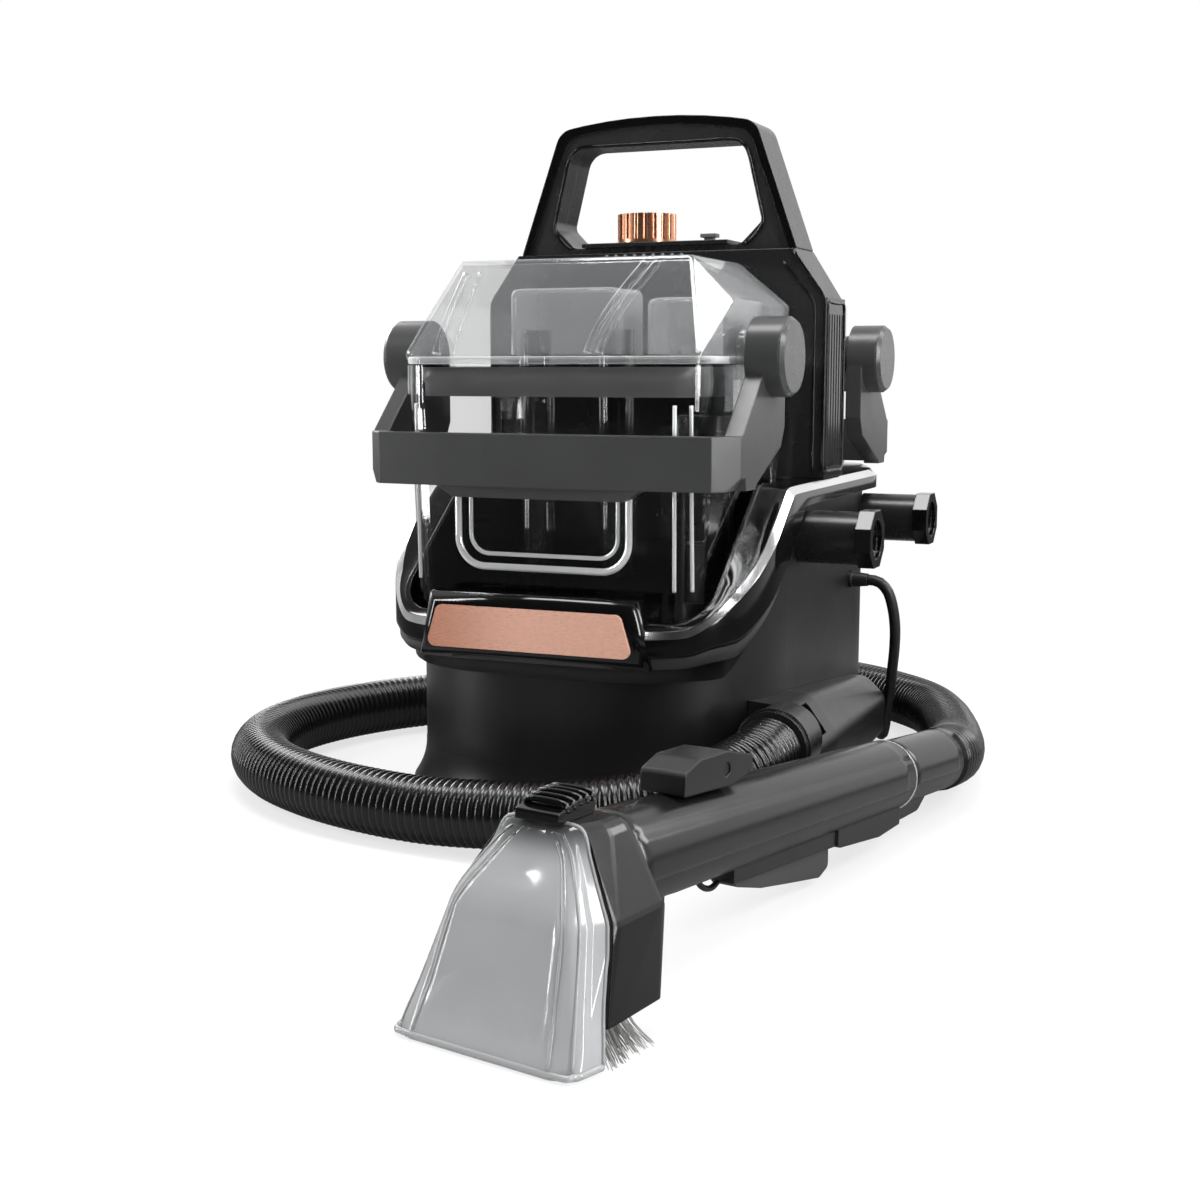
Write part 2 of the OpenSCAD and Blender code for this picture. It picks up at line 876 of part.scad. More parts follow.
module front_tank_lid() {
  color([0.8, 0.82, 0.84, 0.3])
    difference() {
      lid_solid(0);
      lid_solid(tank_wall);
      translate([0, 0, -wall])
        lid_solid(tank_wall);
      block([-far, -far, 0], [far, far, lid_z + 1.5]);
    }
}

tube_places = [[-34, 62], [14, 66]];
tube_l = 140;
tube_r = 10;
tube_wall = 2;
module lid_plate() {
  color([0.7, 0.72, 0.74, 0.5])
    translate([0, 0, rim_z + gap])
      difference() {
        linear_extrude(2.5)
          front_plan(-0.5);
        for (p = tube_places)
          translate([p[0], tank_y0 + p[1], -1])
            cylinder(h = 5, r = tube_r);
        translate([cage_pos[0], cage_pos[1], -1])
          cylinder(h = 5, r = 8);
      }
}

module inlet_tubes() {
  color([0.8, 0.82, 0.84, 0.4])
    for (p = tube_places)
      translate([p[0], tank_y0 + p[1], rim_z - tube_l + 20])
        difference() {
          cylinder(h = tube_l, r = tube_r);
          translate([0, 0, -1])
            cylinder(h = tube_l + 2, r = tube_r - tube_wall);
        }
}

cage_pos = [54, tank_y0 + 104];
module float_cage() {
  color("#303132")
    translate([cage_pos[0], cage_pos[1], tank_z0 + tank_wall])
      difference() {
        cylinder(h = 118, r = 17);
        translate([0, 0, 3])
          cylinder(h = 118, r = 15);
        for (a = [0, 90])
          rotate([0, 0, a])
            block([-20, -6, 10], [20, 6, 108]);
      }
}

module tank_float() {
  color("#4a4b4d")
    translate([cage_pos[0], cage_pos[1], tank_z0 + tank_wall + 3 + gap])
      difference() {
        cylinder(h = 40, r = 13.5);
        translate([0, 0, 37])
          cylinder(h = 4, r = 8);
      }
}

// ---- bails ----

// Plan of the bar: it stands clear in front of the tank and turns back to the arms. Made for the
// front, mirrored behind.
module bail_bar(face, arm_y, z0, drop) {
  w = bail_w / 2;
  inner = tank_w / 2 + 2;
  y_in = face - bail_gap;
  plan = [[w, arm_y], [w, face + 4], [w - 12, y_in - 7], [58, y_in - 10.5], [30, y_in - 12],
    [-30, y_in - 12], [-58, y_in - 10.5], [12 - w, y_in - 7], [-w, face + 4], [-w, arm_y],
    [arm_t - w, arm_y], [arm_t - w, face + 6], [-inner, y_in], [inner, y_in], [w - arm_t, face + 6],
    [w - arm_t, arm_y]];
  difference() {
    translate([0, 0, z0])
      linear_extrude(bar_h)
        polygon(plan);
    for (s = [-1, 1])
      plate_y(y_in - 20, face + 12, [[s * (w - 7), z0 - 1], [s * (w + 1), z0 - 1], [s * (w + 1), z0 + 8],
        [s * w, z0 + 7]]);
  }
  plate_y(y_in - 10, y_in, [[-62, z0 + 1], [-50, z0 - drop], [50, z0 - drop], [62, z0 + 1]]);
}

module bail(face, pivot_y, drop) {
  z0 = pivot_z - 41 - bar_h;
  arm = [[face + 12, z0], [face + 6, z0 + bar_h], [face + 40, pivot_z - 8], [pivot_y, pivot_z],
    [pivot_y + hub_r - 0.4, pivot_z - 3], [pivot_y + hub_r - 0.4, pivot_z - 38], [pivot_y + 15,
    pivot_z - 49],
    [face + 28, z0 + 2]];
  difference() {
    union() {
      bail_bar(face, face + 28, z0, drop);
      for (s = [-1, 1]) {
        bar_x(s > 0 ? bail_w / 2 - arm_t : -bail_w / 2, s > 0 ? bail_w / 2 : arm_t - bail_w / 2, arm);
        translate([0, pivot_y, pivot_z])
          rod_x(s > 0 ? hub_x : -hub_out, s > 0 ? hub_out : -hub_x, hub_r);
      }
    }
    translate([0, pivot_y, pivot_z])
      rod_x(-far, far, stub_r + fit);
  }
}

module bail_caps(pivot_y) {
  color("#8b8c8e")
    for (s = [-1, 1])
      translate([s * hub_out, pivot_y, pivot_z])
        rotate([0, s * 90, 0]) {
          cylinder(h = cap_t, r1 = hub_r, r2 = hub_r - 2.2);
        }
}

module front_bail() {
  color("#58595b")
    bail(tank_y0, front_pivot_y, 6);
}

module front_bail_caps() {
  bail_caps(front_pivot_y);
}

module rear_bail() {
  color("#58595b")
    translate([0, rear_y1 + tank_y0, 0])
      mirror([0, 1, 0])
        translate([0, 0, 0])
          bail(tank_y0, front_pivot_y, 0.5);
}

module rear_bail_caps() {
  bail_caps(rear_pivot_y);
}

// ---- rear tank ----

module rear_plan(grow = 0) {
  translate([0, rear_y])
    round_rect(rear_w + 2 * grow, rear_d + 2 * grow, rear_r + grow);
}

module rear_tank_shell() {
  color([0.75, 0.78, 0.8, 0.35])
    difference() {
      union() {
        translate([0, 0, rear_z0])
          linear_extrude(rear_h)
            rear_plan();
        translate([0, cap_y, rear_top - 1])
          cylinder(h = 10, r = cap_r - 4);
      }
      translate([0, 0, rear_z0 + tank_wall])
        linear_extrude(rear_h - 2 * tank_wall)
          rear_plan(-tank_wall);
      translate([0, cap_y, rear_top - 10])
        cylinder(h = 30, r = cap_r - 4 - tank_wall);
      translate([0, cap_y, rear_z0 - 1])
        cylinder(h = tank_wall + 2, r = valve_r - 3);
    }
}

module rear_tank_frame() {
  band_z = pivot_z - 15 - 6;
  color("#6f7072")
    union() {
      translate([0, 0, band_z])
        linear_extrude(8)
          difference() {
            rear_plan(2);
            rear_plan(0);
          }
      for (side = [-1, 1]) {
        pivot_ear(side, rear_pivot_y);
        ear_foot(side, rear_pivot_y, band_z, rear_w / 2 + 0.5);
      }
    }
}

module rear_tank_valve() {
  color("#35363a")
    translate([0, cap_y, 0]) {
      translate([0, 0, rear_z0 - 12])
        cylinder(h = 12, r = valve_r);
      translate([0, 0, rear_z0 - 1])
        cylinder(h = tank_wall + 8, r = valve_r - 3.1);
    }
}

module fill_cap() {
  color("#2c2d2f")
    translate([0, cap_y, rear_top + gap])
      difference() {
        cylinder(h = 12, r = cap_r);
        translate([0, 0, -eps])
          cylinder(h = 9, r = cap_r - 4 + 0.4);
        for (k = [0 : 11])
          rotate([0, 0, 30 * k])
            translate([cap_r + 1, 0, -1])
              cylinder(h = 14, r = 2.4, $fn = 16);
      }
}

// ---- wand ----

module at_handset() {
  translate([handset_pos[0], handset_pos[1], 0])
    rotate([0, 0, handset_yaw])
      children();
}

// The wand's own frame: its axis is Y, the tool is towards -Y and the tail towards +Y.
module at_wand() {
  at_handset()
    translate([0, 0, wand_z])
      rotate([-wand_pitch, 0, 0])
        children();
}

// Radius of the barrel at a distance y from the tool.
function barrel_at(y) = barrel_r + (tail_r + 1.5 - barrel_r) * y / cuff_seam;

// Side view of the grip under the barrel, from the trigger to the tail cuff.
grip_side = [[trigger_y[1] + 3, -10], [trigger_y[1] + 3, -25], [cuff_seam - 24, -27], [cuff_seam, -24],
  [cuff_seam, -10]];

module wand_barrel() {
  lug = 4;
  color("#3a3b3d")
    at_wand()
      difference() {
        union() {
          rod_y(0, cuff_seam, barrel_at(0), barrel_at(cuff_seam));
          rod_y(-18, 1, spigot_r);
          block([-lug, latch_pivot[0] - 7, 10], [lug, latch_pivot[0] + 7, latch_pivot[1] + 3.5]);
          translate([0, latch_pivot[0], latch_pivot[1]])
            rod_x(-10.5, 10.5, pin_r);
          block([-9, trigger_y[0] - 6, -24], [9, trigger_y[1] + 4, -10]);
          bar_x(-10, 10, rounded(grip_side, [1, 3, 10, 1, 1]));
        }
        translate([0, 0, bore_up])
          rod_y(-19, cuff_seam + 1, bore_r);
        difference() {
          block([-6.8, trigger_y[0] - 3, -40], [6.8, trigger_y[1] + 2, -bore_r + bore_up - 3]);
          translate([0, trigger_pivot[0], trigger_pivot[1]])
            rod_x(-8, 8, pin_r - 1);
        }
        block([-6.5, release_y[0] - 0.5, -40], [6.5, release_y[1] + 0.5, -bore_r + bore_up - 3]);
      }
}

module tail_cuff() {
  color("#2a2b2d")
    at_wand()
      difference() {
        union() {
          rod_y(cuff_seam + eps, wand_l, barrel_at(cuff_seam) - 0.8, tail_r);
          bar_x(-8.5, 8.5, rounded([[cuff_seam + eps, -8], [cuff_seam + eps, -23], [cuff_seam + 26, -21],
            [cuff_seam + 44, -8]], [1, 1, 8, 2]));
        }
        translate([0, 0, bore_up])
          rod_y(cuff_seam - 1, cuff_seam + 16, bore_r);
        rod_y(cuff_seam + 14, wand_l + 1, bore_r + 3);
      }
}

module latch_lever() {
  top = latch_pivot[1] + 8;
  low = barrel_r + 0.6;
  side = rounded([[latch_y[0], low], [latch_pivot[0] + 6, low], [latch_y[1], low + 4], [latch_y[1],
    top - 4],
    [latch_pivot[0], top], [latch_y[0] + 12, top - 1], [latch_y[0], top - 6]], [1, 1, 2, 2, 16, 6, 3]);
  color("#6f7072")
    at_wand()
      difference() {
        bar_x(-11, 11, side);
        block([-4.4, latch_pivot[0] - 9, 0], [4.4, latch_pivot[0] + 9, latch_pivot[1] + 5.5]);
        translate([0, latch_pivot[0], latch_pivot[1]])
          rod_x(-12, 12, pin_r + fit);
      }
}

module wand_trigger() {
  y0 = trigger_y[0];
  y1 = trigger_y[1];
  side = rounded([[y0, -14], [y0 + 3, -11.5], [y0 + 10, -11.5], [y1, -21], [y1 + 1, -34], [y1 - 8, -38],
    [y1 - 38, -35], [y0 + 24, -32], [y0, -27]], [1, 1, 1, 2, 3, 4, 8, 8, 3]);
  color("#6a6b6d")
    at_wand()
      difference() {
        bar_x(-6.2, 6.2, side);
        translate([0, trigger_pivot[0], trigger_pivot[1]])
          rod_x(-8, 8, pin_r - 1 + fit);
      }
}

module release_button() {
  color("#7a7b7d")
    at_wand()
      bar_x(-6, 6, rounded([[release_y[0], -34], [release_y[1] - 3, -34], [release_y[1], -29],
        [release_y[1], -14], [release_y[0], -14]], [3, 3, 2, 1, 1]));
}

// ---- tool ----

// The tool is a funnel: a wide mouth with cut corners in front, a narrow top, and an upright back that
// takes the wand.
module tool_solid(inset, low) {
  mx = mouth_w / 2 - 3;
  wx = (mouth_w + 0.4 * (tool_top_w - mouth_w)) / 2 + 2 - 7;
  tx = tool_top_w / 2 - 9;
  hull()
    for (s = [-1, 1]) {
      for (p = [[mx - 9, mouth_y + 3], [mx - 2, mouth_y + 6.5], [mx, mouth_y + 18], [mx - 1, -18]])
        translate([s * p[0], p[1], low])
          cylinder(h = 1, r = 3 - inset, $fn = 20);
      for (p = [[wx - 7, mouth_y + 23], [wx, mouth_y + 37], [wx, -8]])
        translate([s * p[0], p[1], waist_z])
          sphere(7 - inset, $fn = 20);
      for (p = [[tx - 3, mouth_y + 44], [tx, mouth_y + 53], [tx, -10]])
        translate([s * p[0], p[1], tool_h - 9])
          sphere(9 - inset, $fn = 20);
      translate([s * (mx - 12), -12, 13])
        sphere(4 - inset, $fn = 20);
    }
}

waist_z = 46;                        // height of the tool's rounded waist

// Side view of the joint between the clear window in front and the shell behind it.
joint_low = mouth_y + 17.5;
joint_high = mouth_y + 45;
function joint_y(z) = joint_low + (joint_high - joint_low) * (z + 1) / (tool_h + 6);
shell_low = 14;                      // height of the shell's lower edge, above the bristles' tips

module tool_window() {
  color([0.55, 0.57, 0.6, 0.5])
    at_handset()
      intersection() {
        difference() {
          tool_solid(0, 0);
          tool_solid(tool_wall, -2);
        }
        bar_x(-far, far, [[mouth_y - 10, -1], [mouth_y - 10, tool_h + 5], [joint_high, tool_h + 5],
          [joint_low, -1]]);
      }
}

module tool_shell() {
  color("#5c5d5f")
    difference() {
      union() {
        at_handset()
          intersection() {
            difference() {
              tool_solid(0, 0);
              tool_solid(tool_wall, -2);
            }
            bar_x(-far, far, [[joint_y(shell_low) + 0.2, shell_low], [joint_high + 0.2, tool_h + 5], [5,
              tool_h + 5],
              [5, shell_low]]);
          }
        at_wand()
          rod_y(-22, -2.5, spigot_r + 3);
      }
      at_wand()
        rod_y(-30, 5, spigot_r + fit);
    }
}

module tool_clip() {
  color("#0e0e0f")
    at_handset()
      bar_x(-10, 10, rounded([[mouth_y + 37, tool_h], [-12, tool_h], [-10, tool_h + 4], [-22, tool_h + 7],
        [mouth_y + 37, tool_h + 4]], [0.5, 0.5, 1, 4, 1]));
}

brush_y = [mouth_y + 29, mouth_y + 47];
module brush_block() {
  color("#3c3d3f")
    at_handset()
      block([-mouth_w / 2 + 12, brush_y[0], 14], [mouth_w / 2 - 12, brush_y[1], 22]);
}

module bristles() {
  color("#bdbdbb")
    at_handset()
      for (x = [-mouth_w / 2 + 15 : 6 : mouth_w / 2 - 15], y = [brush_y[0] + 3 : 6 : brush_y[1] - 3])
        translate([x, y, 0.3])
          cylinder(h = 13.7, r = 1.8, $fn = 16);
}

// ---- hose and cord ----

module hose() {
  color("#1a1a1b")
    tube(hose_route, hose_d / 2, 12, [0, 0, 1]);
}

module power_cord() {
  color("#101010")
    tube(cord_route, cord_d / 2, 10, [0.6, 0.6, 0.5]);
}

module cord_coil() {
  color("#101010")
    translate([coil_pos[0], coil_pos[1], 0])
      rotate_extrude()
        translate([coil_r - coil_w / 2, 0])
          square([coil_w, coil_h]);
}

module plug() {
  color("#151515")
    translate([coil_pos[0] - coil_r, coil_pos[1], coil_h]) {
      block([-12, -16, 0], [12, 18, 20]);
      for (x = [-6, 6])
        block([x - 0.8, 18 - eps, 7], [x + 0.8, 36, 13]);
    }
}

foot_ring();
bottom_plate();
base_shell();
hose_housing();
trim_band();
name_plate();
tank_deck();
wrap_post_front();
wrap_post_rear();
post_cap_front();
post_cap_rear();
hose_cuff();
cord_relief();
spine_front_shell();
spine_rear_shell();
rib_panel_left();
rib_panel_right();
handle_front_shell();
handle_rear_shell();
handle_bezel();
top_deck();
vacuum_motor();
water_pump();
heater_block();
control_board();
case_screws();
fan_impeller();
mode_dial();
power_button();
front_tank_shell();
tank_ring();
float_cage();
tank_float();
front_tank_lid();
lid_plate();
inlet_tubes();
front_bail();
front_bail_caps();
rear_tank_shell();
rear_tank_frame();
rear_tank_valve();
fill_cap();
rear_bail();
rear_bail_caps();
wand_barrel();
tail_cuff();
latch_lever();
wand_trigger();
release_button();
tool_shell();
tool_window();
tool_clip();
brush_block();
bristles();
hose();
power_cord();
cord_coil();
plug();
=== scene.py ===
import json
import math
import bpy
import numpy as np
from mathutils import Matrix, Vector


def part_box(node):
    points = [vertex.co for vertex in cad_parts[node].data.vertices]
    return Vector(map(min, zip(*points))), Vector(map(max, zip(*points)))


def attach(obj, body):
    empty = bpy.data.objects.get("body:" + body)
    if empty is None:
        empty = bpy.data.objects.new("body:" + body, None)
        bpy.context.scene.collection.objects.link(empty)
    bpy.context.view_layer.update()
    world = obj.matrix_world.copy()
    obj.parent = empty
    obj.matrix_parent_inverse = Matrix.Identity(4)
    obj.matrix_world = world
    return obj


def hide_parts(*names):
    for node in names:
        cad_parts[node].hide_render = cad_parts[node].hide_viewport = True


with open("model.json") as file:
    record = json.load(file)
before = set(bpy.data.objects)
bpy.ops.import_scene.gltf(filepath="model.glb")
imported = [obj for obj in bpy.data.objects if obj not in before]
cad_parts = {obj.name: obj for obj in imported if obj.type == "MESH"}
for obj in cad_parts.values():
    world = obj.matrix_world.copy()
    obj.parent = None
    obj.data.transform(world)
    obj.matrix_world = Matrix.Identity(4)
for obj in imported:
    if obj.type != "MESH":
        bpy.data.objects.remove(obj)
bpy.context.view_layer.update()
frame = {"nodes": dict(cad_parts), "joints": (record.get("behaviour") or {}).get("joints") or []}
nodes = frame["nodes"]

# Camera, floor and lamps.
# A plain studio: a pale floor that keeps the machine's shadow, white all round, one tall soft lamp at each
# side in front, one above and two behind. The camera looks down a little from the front right.
camera = bpy.data.objects.new("camera", bpy.data.cameras.new("camera"))
camera.data.lens = 49.6
camera.data.clip_start = 0.05
camera.location = (0.382, -0.972, 0.2465)
camera.rotation_euler = (math.radians(90 - 7.93), 0, math.radians(23.4))
bpy.context.scene.collection.objects.link(camera)
bpy.context.scene.camera = camera
bpy.context.scene.view_settings.view_transform = "Standard"


class Sock:
    """A value inside a material. Plus, minus, times and to the power of add their Math nodes."""

    def __init__(self, finish, out):
        self.finish, self.out = finish, out

    def maths(self, operation, a, b):
        return self.finish.add("ShaderNodeMath", {"operation": operation}, {0: a, 1: b})

    def __add__(self, other):
        return self.maths("ADD", self, other)

    def __radd__(self, other):
        return self.maths("ADD", other, self)

    def __sub__(self, other):
        return self.maths("SUBTRACT", self, other)

    def __rsub__(self, other):
        return self.maths("SUBTRACT", other, self)

    def __mul__(self, other):
        return self.maths("MULTIPLY", self, other)

    def __rmul__(self, other):
        return self.maths("MULTIPLY", other, self)

    def __pow__(self, other):
        return self.maths("POWER", self, other)


class Finish:
    """A material that grows node by node on its Principled surface."""

    def __init__(self, name, tree=None, **fixed):
        if tree is None:
            self.material = bpy.data.materials.new(name)
            self.material.use_nodes = True
            tree = self.material.node_tree
        self.tree = tree
        self.surface = tree.nodes.get("Principled BSDF")
        for key, value in fixed.items():
            self.surface.inputs[key.replace("_", " ")].default_value = value

    def add(self, kind, settings=None, sockets=None, out=0):
        """Adds a node: its settings first, then the values or links of its sockets."""
        node = self.tree.nodes.new(kind)
        for key, value in (settings or {}).items():
            setattr(node, key, value)
        self.feed(node, sockets or {})
        return Sock(self, node.outputs[out])

    def feed(self, node, sockets):
        for key, value in sockets.items():
            if isinstance(value, Sock):
                self.tree.links.new(value.out, node.inputs[key])
            else:
                node.inputs[key].default_value = value

    def tint(self, factor, a, b):
        """A colour that goes from a to b as the factor goes from 0 to 1."""
        return self.add("ShaderNodeMix", {"data_type": "RGBA"}, {0: factor, 6: a, 7: b}, 2)

    def noise(self, scale, detail=3.0, stretch=None):
        """Noise of about 1 / scale metres, from 0 to 1, over the place on the piece."""
        where = self.add("ShaderNodeTexCoord", out=3)
        if stretch:
            where = self.add("ShaderNodeMapping", {}, {"Vector": where, "Scale": stretch})
        return self.add("ShaderNodeTexNoise", {}, {"Vector": where, "Scale": scale, "Detail": detail})


world = bpy.data.worlds.new("studio")
world.use_nodes = True
bpy.context.scene.world = world
room = Finish("studio", tree=world.node_tree)
# White to the camera. In the machine's own gloss the room is dark in front of it and light behind it.
ROOM_LIGHT = 0.34
direct = room.add("ShaderNodeLightPath") + room.add("ShaderNodeLightPath", out=6)
direct = direct.maths("MINIMUM", direct, 1.0)
mirrored = room.add("ShaderNodeLightPath", out=3)
rearward = room.add("ShaderNodeSeparateXYZ", {}, {"Vector": room.add("ShaderNodeTexCoord", out=0)}, 1)
behind = rearward.maths("MAXIMUM", 0.5 + 0.9 * rearward, 0.0)
behind = behind.maths("MINIMUM", behind, 1.0)
soft_room = ROOM_LIGHT + mirrored * (0.02 + 0.95 * behind ** 2.0 - ROOM_LIGHT)
background = world.node_tree.nodes["Background"]
background.inputs["Color"].default_value = (1, 1, 1, 1)
room.feed(background, {"Strength": soft_room + direct * (1.0 - soft_room)})

floor_mesh = bpy.data.meshes.new("floor")
floor_mesh.from_pydata([(-6, -6, 0), (6, -6, 0), (6, 6, 0), (-6, 6, 0)], [], [(0, 1, 2, 3)])
floor = bpy.data.objects.new("floor", floor_mesh)
bpy.context.scene.collection.objects.link(floor)
# Mostly a plain glow, and all of it farther out than the shadow reaches. In the machine's gloss it is dark.
FLOOR_GLOW = 0.72
SHADOW_REACH = 0.35
paving = Finish("pale_floor", Base_Color=(0.85, 0.85, 0.85, 1), Roughness=0.9)
mirrored = paving.add("ShaderNodeLightPath", out=3)
glow = paving.add("ShaderNodeEmission", {}, {"Color": (1, 1, 1, 1), "Strength": 1.0 - 0.9 * mirrored})
direct = paving.add("ShaderNodeLightPath") + 1.2 * mirrored + paving.add("ShaderNodeLightPath", out=6)
spread = paving.add("ShaderNodeVectorMath", {"operation": "LENGTH"},
                    {0: paving.add("ShaderNodeTexCoord", out=3)}, 1)
open_floor = (spread - SHADOW_REACH).maths("MAXIMUM", spread - SHADOW_REACH, 0.0)
share = direct.maths("MINIMUM", FLOOR_GLOW + 0.8 * open_floor, 1.0) * direct.maths("MINIMUM", direct, 1.0)
whiten = paving.add("ShaderNodeMixShader", {}, {0: share, 2: glow})
paving.feed(whiten.out.node, {1: Sock(paving, paving.surface.outputs[0])})
paving.feed(paving.tree.nodes["Material Output"], {"Surface": whiten})
floor_mesh.materials.append(paving.material)

for lamp_name, place, turn, size, watts in (
    ("lamp_left", (-1.35, -0.75, 0.70), (76, 0, -60), (0.16, 1.5), 17),
    ("lamp_right", (1.30, -0.45, 0.80), (72, 0, 72), (0.16, 1.5), 18),
    ("lamp_above", (0.05, -0.15, 1.65), (4, 0, 0), (1.3, 0.42), 22),
    ("lamp_back_right", (1.25, 0.75, 1.25), (58, 0, 121), (0.7, 0.9), 17),
    ("lamp_back_left", (-1.30, 0.85, 0.95), (66, 0, -123), (0.6, 0.9), 12),
):
    lamp = bpy.data.objects.new(lamp_name, bpy.data.lights.new(lamp_name, "AREA"))
    lamp.data.shape = "RECTANGLE"
    lamp.data.size, lamp.data.size_y = size
    lamp.data.energy = watts
    lamp.location = place
    lamp.rotation_euler = [math.radians(a) for a in turn]
    bpy.context.scene.collection.objects.link(lamp)

# Suction hose.
# Ribbed black plastic hose, 36 mm over the ribs. It leaves the cuff on the right of the casing, lies round
# the front, the left side and the back of the machine, and ends in the tail of the wand.
HOSE_ROUTE = np.array([
    (124, -148, 47), (123, -174, 45), (115, -199, 41), (97, -220, 35), (70, -233, 29), (36, -239, 24),
    (0, -240, 21), (-38, -238, 19), (-80, -231, 19), (-120, -217, 19), (-158, -195, 19), (-188, -165, 19),
    (-207, -128, 19), (-214, -88, 19), (-209, -48, 19), (-194, -10, 19), (-172, 24, 19), (-151, 58, 19),
    (-138, 94, 19), (-128, 133, 19), (-107, 168, 19), (-74, 190, 19), (-34, 201, 19), (8, 203, 19),
    (50, 198, 19), (88, 182, 19), (121, 158, 19), (148, 129, 19), (166, 94, 19), (179, 56, 19), (189, 18, 20),
    (195, -18, 24), (198, -48, 29), (196.5, -68.9, 31)]) / 1000
RIB_PITCH = 0.0045
RIB_STEPS = 6


def flowing(points, step):
    """A smooth line through the points, in equal steps. Between two points it is the cubic whose slope at
    each end is half the vector between that point's neighbours."""
    ends = np.vstack([2 * points[0] - points[1], points, 2 * points[-1] - points[-2]])
    a, b, c, d = ends[:-3], ends[1:-2], ends[2:-1], ends[3:]
    t = np.linspace(0, 1, 40, endpoint=False)[:, None, None]
    line = b + 0.5 * t * ((c - a) + t * ((2 * a - 5 * b + 4 * c - d) + t * (3 * (b - c) + d - a)))
    line = np.vstack([line.transpose(1, 0, 2).reshape(-1, 3), points[-1:]])
    along = np.concatenate([[0], np.cumsum(np.linalg.norm(np.diff(line, axis=0), axis=1))])
    at = np.linspace(0, along[-1], max(2, int(round(along[-1] / step)) + 1))
    return np.stack([np.interp(at, along, line[:, k]) for k in range(3)], axis=1)


def grid_piece(name, grid, finish, body, round_u=False, round_v=False, lids=False):
    """Makes a mesh from a grid of points, one quad per cell; round_u and round_v close it along each way,
    and lids closes the first and last row of a tube with a fan from its middle."""
    rows, cols = grid.shape[:2]
    index = np.arange(rows * cols).reshape(rows, cols)
    if round_u:
        index = np.vstack([index, index[:1]])
    if round_v:
        index = np.hstack([index, index[:, :1]])
    quads = np.stack([index[:-1, :-1], index[1:, :-1], index[1:, 1:], index[:-1, 1:]], axis=-1).reshape(-1, 4)
    points = grid.reshape(-1, 3)
    faces = quads.tolist()
    if lids:
        points = np.vstack([points, grid[0].mean(0), grid[-1].mean(0)])
        first, last, base = index[0], index[-1], rows * cols
        faces += np.stack([first[:-1], first[1:], np.full(len(first) - 1, base)], -1).tolist()
        faces += np.stack([last[1:], last[:-1], np.full(len(last) - 1, base + 1)], -1).tolist()
    mesh = bpy.data.meshes.new(name)
    mesh.from_pydata(points.tolist(), [], faces)
    mesh.polygons.foreach_set("use_smooth", np.ones(len(mesh.polygons), bool))
    mesh.materials.append(finish.material)
    piece = bpy.data.objects.new(name, mesh)
    bpy.context.scene.collection.objects.link(piece)
    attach(piece, body)
    return piece


def tube_grid(line, radius, sides, up=(0, 0, 1)):
    """Rings round a line: each point is the line's plus radius times the cosine and sine of the way round,
    along two directions square to the line."""
    way = np.gradient(line, axis=0)
    way /= np.linalg.norm(way, axis=1)[:, None]
    side = np.cross(np.broadcast_to(up, way.shape), way)
    side /= np.linalg.norm(side, axis=1)[:, None]
    lift = np.cross(way, side)
    turn = np.linspace(0, 2 * np.pi, sides, endpoint=False)[None, :, None]
    ring = np.cos(turn) * side[:, None] + np.sin(turn) * lift[:, None]
    return line[:, None] + np.broadcast_to(radius, len(line))[:, None, None] * ring


def moulded(name, colour, rough, grain=0.05, size=2600.0, edge=0.0009, **fixed):
    """Moulded plastic: a slow drift in its colour, patches of duller and brighter skin, a fine moulded grain,
    and edges that catch the light."""
    f = Finish(name, **fixed)
    drift = f.noise(14.0)
    dark = tuple(c * 0.82 for c in colour) + (1,)
    pale = tuple(min(1.0, c * 1.16) for c in colour) + (1,)
    worn = f.noise(60.0, 5.0)
    rim = f.add("ShaderNodeBevel", {"samples": 4}, {"Radius": edge})
    skin = f.add("ShaderNodeBump", {}, {"Strength": grain, "Distance": 0.0002, "Height": f.noise(size, 2.0),
                                        "Normal": rim})
    f.feed(f.surface, {"Base Color": f.tint(drift, dark, pale), "Roughness": rough - 0.06 + 0.12 * worn,
                       "Normal": skin})
    return f


hose_plastic = moulded("hose_black", (0.004, 0.004, 0.0044), 0.22, 0.06)
line = flowing(HOSE_ROUTE, RIB_PITCH / RIB_STEPS)
turned = np.arange(len(line)) % RIB_STEPS / RIB_STEPS
ribs = 0.0160 + 0.0018 * (1 - np.abs(2 * turned - 1) ** 2.5)
hose = grid_piece("ribbed_hose", tube_grid(line, ribs, 26), hose_plastic, "base", round_v=True,
                  lids=True)
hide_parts("hose")

# Power lead.
# Five metres of round black rubber lead, 7 mm thick. It drops from its relief beside the rear post, runs
# along the foot of the casing and over the hose, and the rest is wound in a coil with the plug on top.
LEAD_ROUTE = np.array([
    (122, 62, 113), (129, 62, 112), (135, 62, 106), (138, 64, 95), (139, 67, 82), (138, 71, 68),
    (136, 75, 54), (134, 79, 40), (131, 83, 26), (129, 88, 13), (125, 97, 5), (118, 110, 4), (110, 124, 4),
    (98, 139, 4), (81, 156, 4), (58, 170, 4), (33, 177, 4), (12, 178, 8), (-8, 178, 17), (-24, 178, 27),
    (-36, 182, 35), (-44, 190, 41), (-50, 202, 43), (-54, 214, 40), (-57, 224, 31), (-59, 234, 19),
    (-60, 246, 8), (-60, 256, 4)]) / 1000
LEAD_D = 0.007
LEAD_REST = 0.0037
COIL_MIDDLE = np.array((-0.016, 0.289))
COIL_COLUMNS = np.array((0.0539, 0.0466, 0.0394, 0.0321))
COIL_ROW = 0.0072
TURNS = 16
PER_TURN = 30


